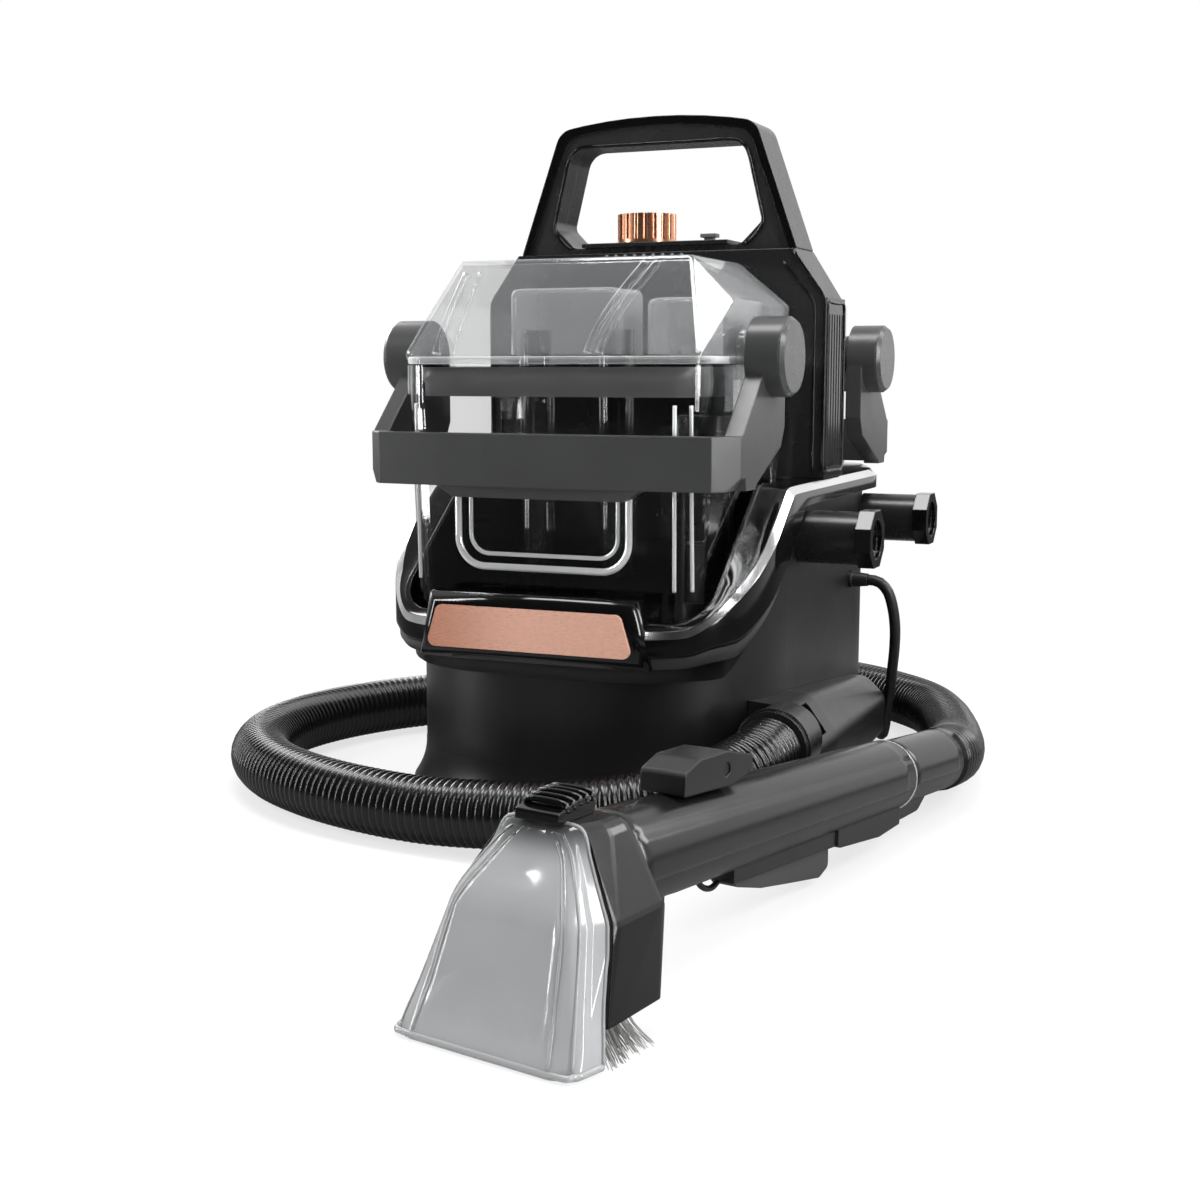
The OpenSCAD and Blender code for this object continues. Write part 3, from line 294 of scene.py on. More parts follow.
def coiled(start_angle, turns):
    """The coil's line, clockwise from above: four turns side by side, then four more on top of them, and so
    on. In the last quarter of each turn it eases across to the next place."""
    t = np.arange(turns * PER_TURN + 1) / PER_TURN
    k = np.minimum(t.astype(int), turns - 1)
    f = t - k
    ease = np.clip((f - 0.75) / 0.25, 0, 1)
    ease = ease * ease * (3 - 2 * ease)

    def place(n):
        wide = len(COIL_COLUMNS)
        row, column = n // wide, n % wide
        column = np.where(row % 2 == 0, column, wide - 1 - column)
        return COIL_COLUMNS[column], LEAD_REST + COIL_ROW * row

    r0, z0 = place(k)
    r1, z1 = place(np.minimum(k + 1, turns - 1))
    r, z = r0 + (r1 - r0) * ease, z0 + (z1 - z0) * ease
    a = start_angle - 2 * np.pi * t
    return np.stack([COIL_MIDDLE[0] + r * np.cos(a), COIL_MIDDLE[1] + r * np.sin(a), z], axis=1)


plug_low, plug_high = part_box("plug")
plug_x, plug_z = (plug_low.x + plug_high.x) / 2, (plug_low.z + plug_high.z) / 2
first_angle = math.atan2(LEAD_ROUTE[-1, 1] - COIL_MIDDLE[1], LEAD_ROUTE[-1, 0] - COIL_MIDDLE[0])
coil = coiled(first_angle, TURNS)
leave = first_angle - 2 * np.pi * np.array([0.08, 0.2, 0.34, 0.5, 0.66, 0.8, 0.9])
leave_r = np.array([0.054, 0.052, 0.049, 0.046, 0.044, 0.043, 0.043])
lead_in = np.stack([COIL_MIDDLE[0] + leave_r * np.cos(leave), COIL_MIDDLE[1] + leave_r * np.sin(leave),
                    np.array([0.0275, 0.0305, 0.0325, 0.033, 0.034, 0.036, 0.038])], axis=1)
into_plug = np.array([(plug_x, plug_low.y - 0.006, plug_z), (plug_x, plug_low.y + 0.002, plug_z)])
lead_line = flowing(np.vstack([LEAD_ROUTE[:-1], coil, lead_in, into_plug]), 0.004)
lead_line[:, 2] = np.maximum(lead_line[:, 2], LEAD_REST)
lead_curve = bpy.data.curves.new("power_lead", "CURVE")
lead_curve.dimensions = "3D"
lead_curve.bevel_depth = LEAD_D / 2
lead_curve.bevel_resolution = 3
lead_curve.use_fill_caps = True
spline = lead_curve.splines.new("POLY")
spline.points.add(len(lead_line) - 1)
spline.points.foreach_set("co", np.hstack([lead_line, np.ones((len(lead_line), 1))]).ravel())
lead_rubber = moulded("lead_rubber", (0.008, 0.008, 0.008), 0.45, 0.1)
lead_curve.materials.append(lead_rubber.material)
lead = bpy.data.objects.new("power_lead", lead_curve)
bpy.context.scene.collection.objects.link(lead)
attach(lead, "base")
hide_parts("power_cord", "cord_coil")


def dress(finish, *names):
    """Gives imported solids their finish."""
    for n in names:
        nodes[n].data.materials.clear()
        nodes[n].data.materials.append(finish.material)


dress(lead_rubber, "plug", "cord_relief")

# Base casing.
# Textured black plastic: a deep shell with a flared foot on a rubber ring, a bottom plate with its screws, a
# housing at the right that takes the hose's cuff, and a louvre at each rear corner.
case_plastic = moulded("case_black", (0.006, 0.006, 0.0063), 0.36, 0.16, 2000.0)
foot_rubber = moulded("foot_rubber", (0.012, 0.012, 0.012), 0.8, 0.3, 900.0)
satin_black = moulded("satin_black", (0.010, 0.010, 0.011), 0.28)
dress(case_plastic, "base_shell", "bottom_plate", "hose_housing")
dress(foot_rubber, "foot_ring")
dress(satin_black, "hose_cuff", "wrap_post_front", "wrap_post_rear")


def rounded_plan(width, depth, radius, middle, count):
    """A closed loop round a rectangle with round corners, in equal steps, and its outward directions."""
    hw, hd = width / 2 - radius, depth / 2 - radius
    corner = np.linspace(0, np.pi / 2, 41)
    loop, out = [], []
    for k, (cx, cy) in enumerate(((hw, hd), (-hw, hd), (-hw, -hd), (hw, -hd))):
        a = corner + k * np.pi / 2
        out.append(np.stack([np.cos(a), np.sin(a)], -1))
        loop.append(np.array((cx, cy)) + radius * out[-1])
    loop, out = np.vstack(loop), np.vstack(out)
    loop, out = np.vstack([loop, loop[:1]]), np.vstack([out, out[:1]])
    s = np.concatenate([[0], np.cumsum(np.linalg.norm(np.diff(loop, axis=0), axis=1))])
    at = np.linspace(0, s[-1], count, endpoint=False)
    xy = np.stack([np.interp(at, s, loop[:, k]) for k in range(2)], -1)
    way = np.stack([np.interp(at, s, out[:, k]) for k in range(2)], -1)
    return xy + np.array(middle), way / np.linalg.norm(way, axis=1)[:, None]


def ring_at(xy, z):
    """A line of points on a plan, all at one height."""
    return np.hstack([xy, np.full((len(xy), 1), z)])


LOUVRE_PITCH = 0.006
foot_xy, foot_out = rounded_plan(0.220, 0.344, 0.095, (0, 0), 360)
flare = 0.0075 - 0.0055 * np.clip((foot_xy[:, 1:] - 0.02) / 0.05, 0, 1)
foot_rows = [ring_at(foot_xy - foot_out * 0.004, 0.0045),
             ring_at(foot_xy + foot_out * (flare - 0.001), 0.0045)]
foot_rows += [ring_at(foot_xy + foot_out * (flare * (1 - t) ** 2.2 + 0.0002), 0.006 + 0.024 * t)
              for t in np.linspace(0, 1, 10)]
grid_piece("casing_flare", np.stack(foot_rows), case_plastic, "base", round_v=True)
for side, which in ((-1, "left"), (1, "right")):
    corner = (foot_xy[:, 0] * side > 0.020) & (foot_xy[:, 0] * side < 0.100) & (foot_xy[:, 1] > 0.1)
    heights = np.arange(0.093, 0.162, 0.0005)
    slats = 0.0016 - 0.0008 * np.cos(2 * np.pi * heights / LOUVRE_PITCH)
    rows = [ring_at(foot_xy[corner] - foot_out[corner] * inset, z) for inset, z in zip(slats, heights)]
    grid_piece(f"exhaust_louvre_{which}", np.stack(rows), case_plastic, "base")
screw_steel = moulded("screw_steel", (0.55, 0.55, 0.56), 0.3, 0.05, Metallic=1.0)
dress(screw_steel, "case_screws")

# Trim band.
# Gloss black plastic band round the top of the casing, with a bright upper facet and an undercut lower one.
# It runs low round the front, climbs at each side and carries on level round the back.
gloss_black = moulded("gloss_black", (0.003, 0.003, 0.0033), 0.10, 0.01, 700.0)
black_chrome = moulded("black_chrome", (0.85, 0.85, 0.86), 0.15, 0.01, 700.0, Metallic=1.0)
strip_grey = moulded("strip_grey", (0.030, 0.030, 0.031), 0.36)
BAND_R = 0.080
POCKET_R = 0.0225
# Each edge's height in front and behind, and where its climb starts and ends.
TOP_EDGE = (0.111, 0.182, -0.169, -0.080)
LOW_EDGE = (0.081, 0.168, -0.145, -0.056)
band_low, band_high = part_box("trim_band")
pocket_low, pocket_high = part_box("tank_deck")
xy, out = rounded_plan(band_high.x - band_low.x, band_high.y - band_low.y, BAND_R,
                       (0, (band_low.y + band_high.y) / 2), 720)


def step_up(y, low, high, start, end):
    """A line that is level, climbs straight from start to end, and is level again, eased at both corners."""
    t = (y - start) / (end - start)
    soft = 0.035
    up = lambda u: 0.5 * (u + np.sqrt(u * u + soft * soft))
    return low + (high - low) * (up(t) - up(t - 1))


top_edge = step_up(xy[:, 1], *TOP_EDGE)
low_edge = step_up(xy[:, 1], *LOW_EDGE)
core = np.array((pocket_high.x - POCKET_R, (pocket_high.y - pocket_low.y) / 2 - POCKET_R))
pocket_middle = np.array((0, (pocket_low.y + pocket_high.y) / 2))
near = np.clip(xy - pocket_middle, -core, core)
off = (xy - pocket_middle) - near
pocket = pocket_middle + near + (POCKET_R - 0.0003) * off / np.linalg.norm(off, axis=1)[:, None]
pocket_top = step_up(pocket[:, 1], *TOP_EDGE)
narrow = np.minimum(1, np.linalg.norm(pocket - xy, axis=1)[:, None] / 0.0125)
front = np.clip((-xy[:, 1] - 0.09) / 0.07, 0, 1)[:, None]
gloss_foot = 0.10 + 0.40 * front[:, 0]
strip_foot = 0.08 + 0.22 * front[:, 0]
shade = 0.0045 + 0.0085 * front


def band_row(inset, share):
    """One line round the band: the plan drawn in by an inset, at a share of the way up from its foot."""
    z = low_edge + share * (top_edge - low_edge)
    return np.hstack([xy - out * inset, z[:, None]])


def facet_row(inset, drop):
    """One line round the band, at a drop below the upper edge: the plan drawn in by an inset, and by less of
    it where the band is narrow."""
    return np.hstack([xy - out * inset * narrow, (top_edge - drop)[:, None]])


band_rows = [band_row(0.0022 * front + 0.0002, gloss_foot), band_row(0.0002, gloss_foot + 0.03),
             band_row(0.0002, gloss_foot + 0.06), facet_row(0.0002, 0.0052), facet_row(0.0004, 0.0046)]
lip_rows = [facet_row(0.0042, 0.0008), facet_row(0.0050, 0.0003), facet_row(0.0100, 0.0002),
            np.hstack([pocket, pocket_top[:, None]])]
bevel_rows = [band_rows[-1], facet_row(0.0008, 0.0041), facet_row(0.0037, 0.0013), lip_rows[0]]
strip_rows = [band_row(0.0028 * front + 0.0012, strip_foot),
              band_row(0.0022 * front + 0.0006, strip_foot + 0.02),
              band_row(0.0022 * front + 0.0004, gloss_foot)]
undercut_rows = [band_row(shade + 0.0006, 0.0), band_row(shade, 0.02), band_row(shade, strip_foot - 0.05),
                 strip_rows[0]]
for name, rows, finish, slot in (
    ("trim_band_side", band_rows, gloss_black, "black_gloss"),
    ("trim_band_lip", lip_rows, gloss_black, "black_gloss"),
    ("trim_band_bevel", bevel_rows, black_chrome, "black_gloss"),
    ("trim_band_foot", strip_rows, strip_grey, "black_matte"),
    ("trim_band_undercut", undercut_rows, case_plastic, "black_matte"),
):
    facet = grid_piece(name, np.stack(rows), finish, "base", round_v=True)
    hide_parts("trim_band")

# Name plate.
# A bare plate of satin rose-coloured metal, held in a gloss black frame on the front of the trim band.


def framed(half_low, half_high, z0, z1, y, grow):
    """The outline of the plate's frame: a level-sided shape, wider below, set out by a margin all round."""
    return [(-half_low - grow, y, z0 - grow), (half_low + grow, y, z0 - grow),
            (half_high + grow, y, z1 + grow), (-half_high - grow, y, z1 + grow)]


plate_low, plate_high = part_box("name_plate")
outlines = [framed(0.0625, 0.0555, plate_low.z - 0.001, plate_high.z + 0.001, plate_high.y + back, grow)
            for back, grow in ((0.016, 0.0055), (0.0042, 0.0055), (0.0006, 0.0012), (0.0, 0.0))]
grid_piece("plate_holder", np.array(outlines), gloss_black, "base", round_v=True, lids=True)


def rose_metal(name, metallic, dark, pale):
    """Satin rose-coloured metal with a fine brushed streak, and a painted sheen that is darker at its left
    end.
    """
    f = Finish(name, Metallic=metallic)
    streak = f.noise(260.0, 4.0, (1, 1, 14))
    across = f.add("ShaderNodeSeparateXYZ", {}, {"Vector": f.add("ShaderNodeTexCoord", out=3)})
    # Painted sheen: the colour goes from dark at the left end to pale further right, in place of the
    # reflection across the metal.
    painted_sheen = f.add("ShaderNodeMapRange", {"interpolation_type": "SMOOTHSTEP"},
                  {0: across, 1: -0.066, 2: 0.004, 3: 0.0, 4: 0.8})
    f.feed(f.surface, {
        "Base Color": f.tint(painted_sheen + 0.2 * f.noise(11.0, 1.0), dark, pale),
        "Roughness": 0.24 + 0.08 * streak,
        "Normal": f.add("ShaderNodeBump", {}, {"Strength": 0.015, "Distance": 0.0001, "Height": streak})})
    return f


dress(rose_metal("rose_plate", 0.3, (0.54, 0.235, 0.150, 1), (0.87, 0.50, 0.38, 1)), "name_plate")

# Tank deck, spine and handle.
# Black plastic mouldings: the deck that both tanks stand on, the spine between them with its ribbed side
# panels, button, dial and vent bars, and the carry handle in two halves with a gloss rim on its front.
dress(gloss_black, "tank_deck", "post_cap_front", "post_cap_rear", "handle_bezel", "rib_panel_left",
      "rib_panel_right")
spine_plastic = moulded("spine_black", (0.011, 0.011, 0.012), 0.26)
dress(spine_plastic, "spine_front_shell", "spine_rear_shell", "top_deck")
handle_grey = moulded("handle_grey", (0.021, 0.021, 0.022), 0.27)
dress(handle_grey, "handle_front_shell", "handle_rear_shell")
spine_low, spine_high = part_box("spine_front_shell")
panel_low, panel_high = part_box("rib_panel_right")


def rail(name, corners, radius, finish, body, closed=False):
    """A round moulding along straight runs between corners, eased a little at each one."""
    corners = np.array(corners, float)
    if closed:
        corners = np.vstack([corners, corners[:1]])
    run = [corners[:1]]
    for a, b in zip(corners[:-1], corners[1:]):
        run.append(a + (b - a) * np.array((0.06, 0.35, 0.65, 0.94))[:, None])
    run = flowing(np.vstack(run + [corners[-1:]]), 0.003)
    return grid_piece(name, tube_grid(run, radius, 8, (0.31, 0.84, 0.45)), finish, body, round_v=True,
                      lids=True)


SPINE_TOP = 0.0915
for side, which in ((-1, "left"), (1, "right")):
    for step, (inset, radius) in enumerate(((0.0012, 0.0013), (0.0075, 0.0008))):
        x = side * (panel_high.x - inset)
        rail(f"spine_rail_{which}_{step + 1}",
             [(x, spine_low.y, spine_low.z + 0.004), (x, spine_low.y, panel_high.z - inset * 0.4),
              (side * (SPINE_TOP - inset), spine_low.y, spine_high.z - inset)],
             radius, gloss_black, "base")
    front_y, back_y = panel_low.y + 0.0016, panel_high.y - 0.0016
    foot_z, head_z = panel_low.z + 0.004, panel_high.z - 0.003
    rail(f"rib_frame_{which}", [(side * (panel_high.x + 0.0001), y, z) for y, z in (
        (front_y, foot_z), (front_y, head_z), (back_y, head_z), (back_y, foot_z))],
         0.0009, gloss_black, "base", closed=True)
button_grey = moulded("button_grey", (0.12, 0.12, 0.125), 0.4)
dress(button_grey, "power_button")
dress(rose_metal("rose_dial", 1.0, (0.70, 0.29, 0.165, 1), (0.80, 0.38, 0.24, 1)), "mode_dial")
VENT_PITCH = 0.0062
for k in range(9):
    x = -0.030 + VENT_PITCH * k
    rail(f"vent_bar_{k + 1}", [(x, spine_low.y - 0.0002, spine_high.z - 0.0042),
                               (x, spine_low.y - 0.0002, spine_high.z - 0.0010)],
         0.0010, button_grey, "base")
bezel_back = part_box("handle_bezel")[1].y
GRIP_TOP = 0.3840
grip_side = [(0.0575, 0.3220), (0.0610, 0.3238), (0.0675, 0.3312), (0.0688, 0.3365), (0.0680, 0.3405),
             (0.0630, 0.3610), (0.0594, 0.3750), (0.0551, 0.3815), (0.0477, GRIP_TOP), (0.0270, GRIP_TOP)]
grip_edge = [(-x, z) for x, z in grip_side] + [(0.0, GRIP_TOP)] + grip_side[::-1]
grip_edge = np.array([(x, bezel_back - 0.0001, z) for x, z in grip_edge])
grid_piece("grip_edge", tube_grid(flowing(grip_edge, 0.002), 0.0011, 8, (0, 1, 0)), gloss_black,
           "base", round_v=True, lids=True)

# Inside the casing.
# The vacuum motor with its fan, the pump, the heater and the circuit board.
motor_metal = moulded("motor_metal", (0.42, 0.42, 0.43), 0.35, 0.2, 500.0, Metallic=1.0)
dress(motor_metal, "vacuum_motor", "fan_impeller", "heater_block")
dress(moulded("pump_white", (0.66, 0.66, 0.63), 0.45), "water_pump")
dress(moulded("board_green", (0.03, 0.16, 0.06), 0.3), "control_board")

# Tanks and the front tank's lid.
# Clear moulded plastic, with satin grey frames and seals and black caps, valves and float cage. The front tank
# has a beaded window, and a lid over a joint plate, with two tubes under it and two dimmer ducts inside.


def clear_plastic(name, colour, least, most, rough=0.03, metallic=1.0, power=4.0):
    """Clear plastic: a thin bright skin that shows nearly nothing straight on and mirrors the room towards
    its edges, with a faint unevenness."""
    f = Finish(name, Metallic=metallic)
    facing = f.add("ShaderNodeLayerWeight", {}, {"Blend": 0.5}, 1)
    haze = f.noise(35.0)
    ripple = f.add("ShaderNodeBump", {}, {"Strength": 0.06, "Distance": 0.001, "Height": f.noise(26.0, 1.0)})
    f.feed(f.surface, {"Base Color": f.tint(haze, tuple(c * 0.94 for c in colour) + (1,), colour + (1,)),
                       "Roughness": rough + 0.03 * haze, "Alpha": least + (most - least) * facing ** power,
                       "Normal": ripple})
    return f


clear = clear_plastic("clear_plastic", (0.90, 0.91, 0.92), 0.026, 0.95, power=3.0)
band_grey = moulded("band_grey", (0.130, 0.130, 0.132), 0.30)
dress(clear, "front_tank_shell", "tank_ring", "lid_plate", "inlet_tubes", "rear_tank_shell")
lid_clear = clear_plastic("lid_clear", (0.80, 0.81, 0.82), 0.09, 0.58, rough=0.09, metallic=0.6, power=2.0)
dress(lid_clear, "front_tank_lid")
dress(band_grey, "rear_tank_frame")
dress(satin_black, "float_cage", "rear_tank_valve", "fill_cap")
dress(moulded("float_grey", (0.06, 0.06, 0.062), 0.4), "tank_float")
tank_low, tank_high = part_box("front_tank_shell")
# Half mirror, and half a pale colour that paints highlights on the clear tank's moulded beads and edges.
edge_mirror_and_highlight = moulded("edge_mirror_and_highlight", (0.86, 0.87, 0.88), 0.10, 0.01, Metallic=0.5)


def window_bead(name, x0, x1, z0, z1, radius, y, half, depth):
    """A bead on the tank's front, round a rectangle with round corners. Its section is an oval: half its
    width along the loop's outward way, and half its depth along the way that the tank faces."""
    flat, way = rounded_plan(x1 - x0, z1 - z0, radius, ((x0 + x1) / 2, (z0 + z1) / 2), 160)
    loop = np.stack([flat[:, 0], np.full(160, y), flat[:, 1]], -1)[:, None]
    way = np.stack([way[:, 0], 0 * way[:, 0], way[:, 1]], -1)[:, None]
    turn = np.linspace(0, 2 * np.pi, 12, endpoint=False)[None, :, None]
    grid = loop + half * np.cos(turn) * way + depth * np.sin(turn) * np.array((0.0, -1.0, 0.0))
    return grid_piece(name, grid, edge_mirror_and_highlight, "front_tank", round_u=True, round_v=True)


window_bead("tank_window_bead", -0.053, 0.049, 0.139, 0.206, 0.016, tank_low.y, 0.0020, 0.0018)
window_bead("tank_window_step", -0.046, 0.042, 0.146, 0.200, 0.011, tank_low.y + 0.0015, 0.0012, 0.0010)


def hoop(name, width, depth, radius, profile, finish, body, closed):
    """A hoop with round corners: its section, given as insets and heights above the tank's rim, carried round
    the plan. A closed section joins its last line to its first."""
    plan, way = rounded_plan(width, depth, radius, (0, (tank_low.y + tank_high.y) / 2), 360)
    rows = [ring_at(plan - way * inset, rim_z + height) for inset, height in profile]
    return grid_piece(name, np.stack(rows), finish, body, round_u=closed, round_v=True)


rim_z = tank_high.z
hoop("tank_seal", 0.1640, 0.1430, 0.012,
     [(0.0016, -0.0170), (0.0016, -0.0095), (0.0, -0.0085), (0.0, -0.0010), (0.0030, -0.0010),
      (0.0030, -0.0170)], band_grey, "front_tank", closed=True)
rim_clear = clear_plastic("rim_clear", (0.92, 0.93, 0.94), 0.14, 0.9, 0.05, 0.0, 1.6)
hoop("lid_flange", 0.1822, 0.1522, 0.019,
     [(0.006, 0.0006), (0.0006, 0.0006), (0.0, 0.0012), (0.0, 0.0040), (0.0006, 0.0046), (0.006, 0.0046)],
     rim_clear, "lid", closed=False)


def distance_to(node, starts, ways):
    """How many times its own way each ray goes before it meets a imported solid, or nan. In a triangle's own
    directions, along two of its edges and square to it, a ray meets the triangle where it comes level with
    it at shares of the edges that are 0 or more and add up to 1 or less."""
    mesh = nodes[node].data
    points = np.empty(3 * len(mesh.vertices), np.float32)
    mesh.vertices.foreach_get("co", points)
    corners = np.empty(len(mesh.loops), np.int32)
    mesh.loops.foreach_get("vertex_index", corners)
    a, b, c = points.reshape(-1, 3).astype(float)[corners.reshape(-1, 3)].transpose(1, 0, 2)
    square = np.cross(b - a, c - a)
    area = np.linalg.norm(square, axis=1)
    real = area > 1e-13
    a, b, c, square = a[real], b[real], c[real], square[real] / area[real, None]
    inward = np.linalg.inv(np.stack([b - a, c - a, square], axis=-1))
    corner = np.einsum("tij,tj->ti", inward, a)
    edge = 1e-6
    found = []
    for start, way in zip(starts, ways):
        p = np.einsum("tij,nj->nti", inward, start) - corner
        d = np.einsum("tij,nj->nti", inward, way)
        with np.errstate(divide="ignore", invalid="ignore"):
            t = -p[..., 2] / d[..., 2]
            u, v = p[..., 0] + t * d[..., 0], p[..., 1] + t * d[..., 1]
        met = (t > 0) & (u > -edge) & (v > -edge) & (u + v < 1 + edge)
        nearest = np.where(met, t, np.inf).min(axis=1)
        found.append(np.where(np.isinf(nearest), np.nan, nearest))
    return np.array(found)


def rib_on(name, node, points, radius, finish, body):
    """A round rib that follows a solid's front under a smooth line of points, given across and up: each
    point of the line goes straight back until it meets the solid."""
    ahead = flowing(np.array([(x, -0.2, z) for x, z in points]), 0.003)
    back = np.broadcast_to((0.0, 1.0, 0.0), ahead.shape)
    met = ahead + np.nan_to_num(distance_to(node, ahead[None], back[None])[0])[:, None] * back
    met = flowing(met[::3], 0.002)
    return grid_piece(name, tube_grid(met, radius, 10, (1, 0, 0)), finish, body, round_v=True,
                      lids=True)


for name, radius, points in (
    ("lid_rib_left", 0.0024, [(-0.067, 0.2555), (-0.066, 0.275), (-0.062, 0.302)]),
    ("lid_rib_left_inner", 0.0012, [(-0.057, 0.2555), (-0.056, 0.275), (-0.054, 0.303)]),
    ("lid_rib_middle", 0.0022, [(0.024, 0.2555), (0.027, 0.270), (0.034, 0.286), (0.045, 0.304)]),
    ("lid_rib_right", 0.0022, [(0.031, 0.2555), (0.034, 0.270), (0.041, 0.286), (0.052, 0.304)]),
):
    rib_on(name, "front_tank_lid", points, radius, clear, "lid")
# Pale ribs down the tank's front corners: painted highlights on its edges, with a real mirror share.
for name, x in (("tank_edge_left", -0.0800), ("tank_edge_right_inner", 0.0745), ("tank_edge_right", 0.0825)):
    rib_on(name, "front_tank_shell", [(x, z) for z in (0.130, 0.160, 0.200, 0.231)], 0.0011, edge_mirror_and_highlight,
           "front_tank")
dim = clear_plastic("dim_plastic", (0.46, 0.47, 0.48), 0.34, 0.9, 0.10, 0.0, 2.0)


def tower(name, x0, x1, y0, y1, top, radius):
    """An upright duct with round corners that stands inside the lid: its plan, lofted from foot to top."""
    plan, way = rounded_plan(x1 - x0, y1 - y0, radius, ((x0 + x1) / 2, (y0 + y1) / 2), 80)
    profile = ((0, rim_z + 0.006), (0, top - 0.004), (0.0012, top - 0.001), (0.004, top))
    rows = [ring_at(plan - way * inset, z) for inset, z in profile]
    return grid_piece(name, np.stack(rows), dim, "lid", round_v=True, lids=True)


tower("lid_duct", -0.046, 0.021, -0.118, -0.068, 0.292, 0.009)
tower("lid_channel", 0.034, 0.068, -0.112, -0.058, 0.286, 0.014)

# Bails.
# Satin grey plastic carrying bails, one to each tank, on round hubs with paler caps.
bail_grey = moulded("bail_grey", (0.044, 0.0445, 0.045), 0.33, edge=0.0014)
cap_grey = moulded("cap_grey", (0.052, 0.053, 0.054), 0.28)
dress(bail_grey, "front_bail", "rear_bail")
dress(cap_grey, "front_bail_caps", "rear_bail_caps")

# Wand and tool.
# A charcoal plastic wand with its latch, trigger and release, a cuff at its tail for the hose, and a tool
# with a dark back, a brush block and a gloss clip on top.
wand_dark = moulded("wand_dark", (0.004, 0.004, 0.0045), 0.30)
# The upper skin is a little paler than the barrel below it: partly its own tone, partly a painted highlight on
# its lit top.
wand_charcoal = moulded("wand_charcoal", (0.008, 0.0082, 0.0085), 0.23)
dress(wand_dark, "wand_barrel", "tail_cuff")
latch_grey = moulded("latch_grey", (0.008, 0.0082, 0.0085), 0.30, edge=0.0014)
dress(latch_grey, "latch_lever")
trigger_grey = moulded("trigger_grey", (0.034, 0.034, 0.035), 0.42, 0.5, 1300.0)
dress(trigger_grey, "wand_trigger", "release_button")
shell_grey = moulded("shell_grey", (0.004, 0.0041, 0.0043), 0.25)
dress(shell_grey, "tool_shell", "brush_block")
dress(gloss_black, "tool_clip")
joints = {j["name"]: j for j in frame["joints"]}
along_x = -np.array(joints["wand_lift"]["axis"])
along_y = -np.array(joints["tool_pull"]["axis"])
along_z = np.cross(along_x, along_y)
LATCH_ALONG, LATCH_ABOVE = 0.084, 0.029
wand_root = np.array(joints["latch_rock"]["pos_m"]) - LATCH_ALONG * along_y - LATCH_ABOVE * along_z
tool_root = np.array((wand_root[0], wand_root[1], 0.0))
level_y = np.cross((0, 0, 1), along_x)


def on_wand(p):
    """Points given across, along and above the wand's axis, put in their place."""
    p = np.asarray(p, float)
    return wand_root + p[..., :1] * along_x + p[..., 1:2] * along_y + p[..., 2:] * along_z


def on_tool(p):
    """Points given across, along and above the floor under the tool, put in their place."""
    p = np.asarray(p, float)
    return tool_root + p[..., :1] * along_x + p[..., 1:2] * level_y + p[..., 2:] * np.array((0, 0, 1.0))


BARREL_LENGTH = 0.268
CUFF_LENGTH = 0.067


def sleeve(name, ends, arc, cells, proud, groove, taper):
    """The upper half of the wand's skin: an arc of the radius that tapers under it, set proud of it and
    turned under at its edges. A groove runs along it 50 degrees to each side of the top."""
    y = np.concatenate([[ends[0]], np.linspace(*ends, cells[0]), [ends[1]]])[:, None]
    degrees = np.concatenate([[arc[0] - 1.5], np.linspace(*arc, cells[1]), [arc[1] + 1.5]])[None, :]
    lift = proud - groove * np.exp(-((np.abs(degrees - 90) - 50) / 3.0) ** 2) + 0 * y
    lift[:, 0] = lift[:, -1] = lift[0] = lift[-1] = -0.0008
    start, length, start_r, end_r = taper
    r = start_r + (end_r - start_r) * (y - start) / length + lift
    a = np.radians(degrees)
    grid = np.stack([r * np.cos(a), np.broadcast_to(y, r.shape), r * np.sin(a)], axis=-1)
    return grid_piece(name, on_wand(grid), wand_charcoal, "wand")


sleeve("wand_top_shell", (0.0015, 0.2672), (-14, 194), (24, 40), 0.0007, 0.0008,
       (0.0, BARREL_LENGTH, 0.021, 0.018))
sleeve("cuff_top_shell", (0.2688, 0.3340), (-10, 190), (10, 36), 0.0006, 0.0,
       (BARREL_LENGTH, CUFF_LENGTH, 0.0172, 0.0165))
turn = np.linspace(0, 2 * np.pi, 48, endpoint=False)
seam_way = np.stack([np.cos(turn), 0 * turn, np.sin(turn)], -1)
seam = on_wand(0.0181 * seam_way + np.array((0, BARREL_LENGTH + 0.0001, 0)))[:, None]
seam_out = (on_wand(seam_way) - wand_root)[:, None]
section = np.linspace(0, 2 * np.pi, 8, endpoint=False)[None, :, None]
# A thin pale ring at the cuff's seam: a painted highlight on that edge.
painted_glint_grey = moulded("painted_glint_grey", (0.30, 0.30, 0.305), 0.3)
grid_piece("cuff_seam_glint", seam + 0.0007 * (np.cos(section) * seam_out + np.sin(section) * along_y),
           painted_glint_grey, "wand", round_u=True, round_v=True)
hook = flowing(np.array([(0, 0.080, -0.0190), (0, 0.086, -0.0245), (0, 0.094, -0.0265), (0, 0.101, -0.0235),
                         (0, 0.103, -0.0195)]), 0.001)
grid_piece("trigger_hook", tube_grid(on_wand(hook), 0.0014, 10, tuple(along_x)), wand_dark,
           "wand", round_v=True, lids=True)

# Tool window.
# Smoky clear plastic, open at the mouth: a sunk panel in front, a raised pillar and a sunk band at each side,
# and a rounded lip round the mouth. Its colour is painted darker towards the top, a painted shade.
smoky = Finish("smoky_plastic")
facing = smoky.add("ShaderNodeLayerWeight", {}, {"Blend": 0.5}, 1)
height = smoky.add("ShaderNodeSeparateXYZ", {}, {"Vector": smoky.add("ShaderNodeTexCoord", out=3)}, 2)
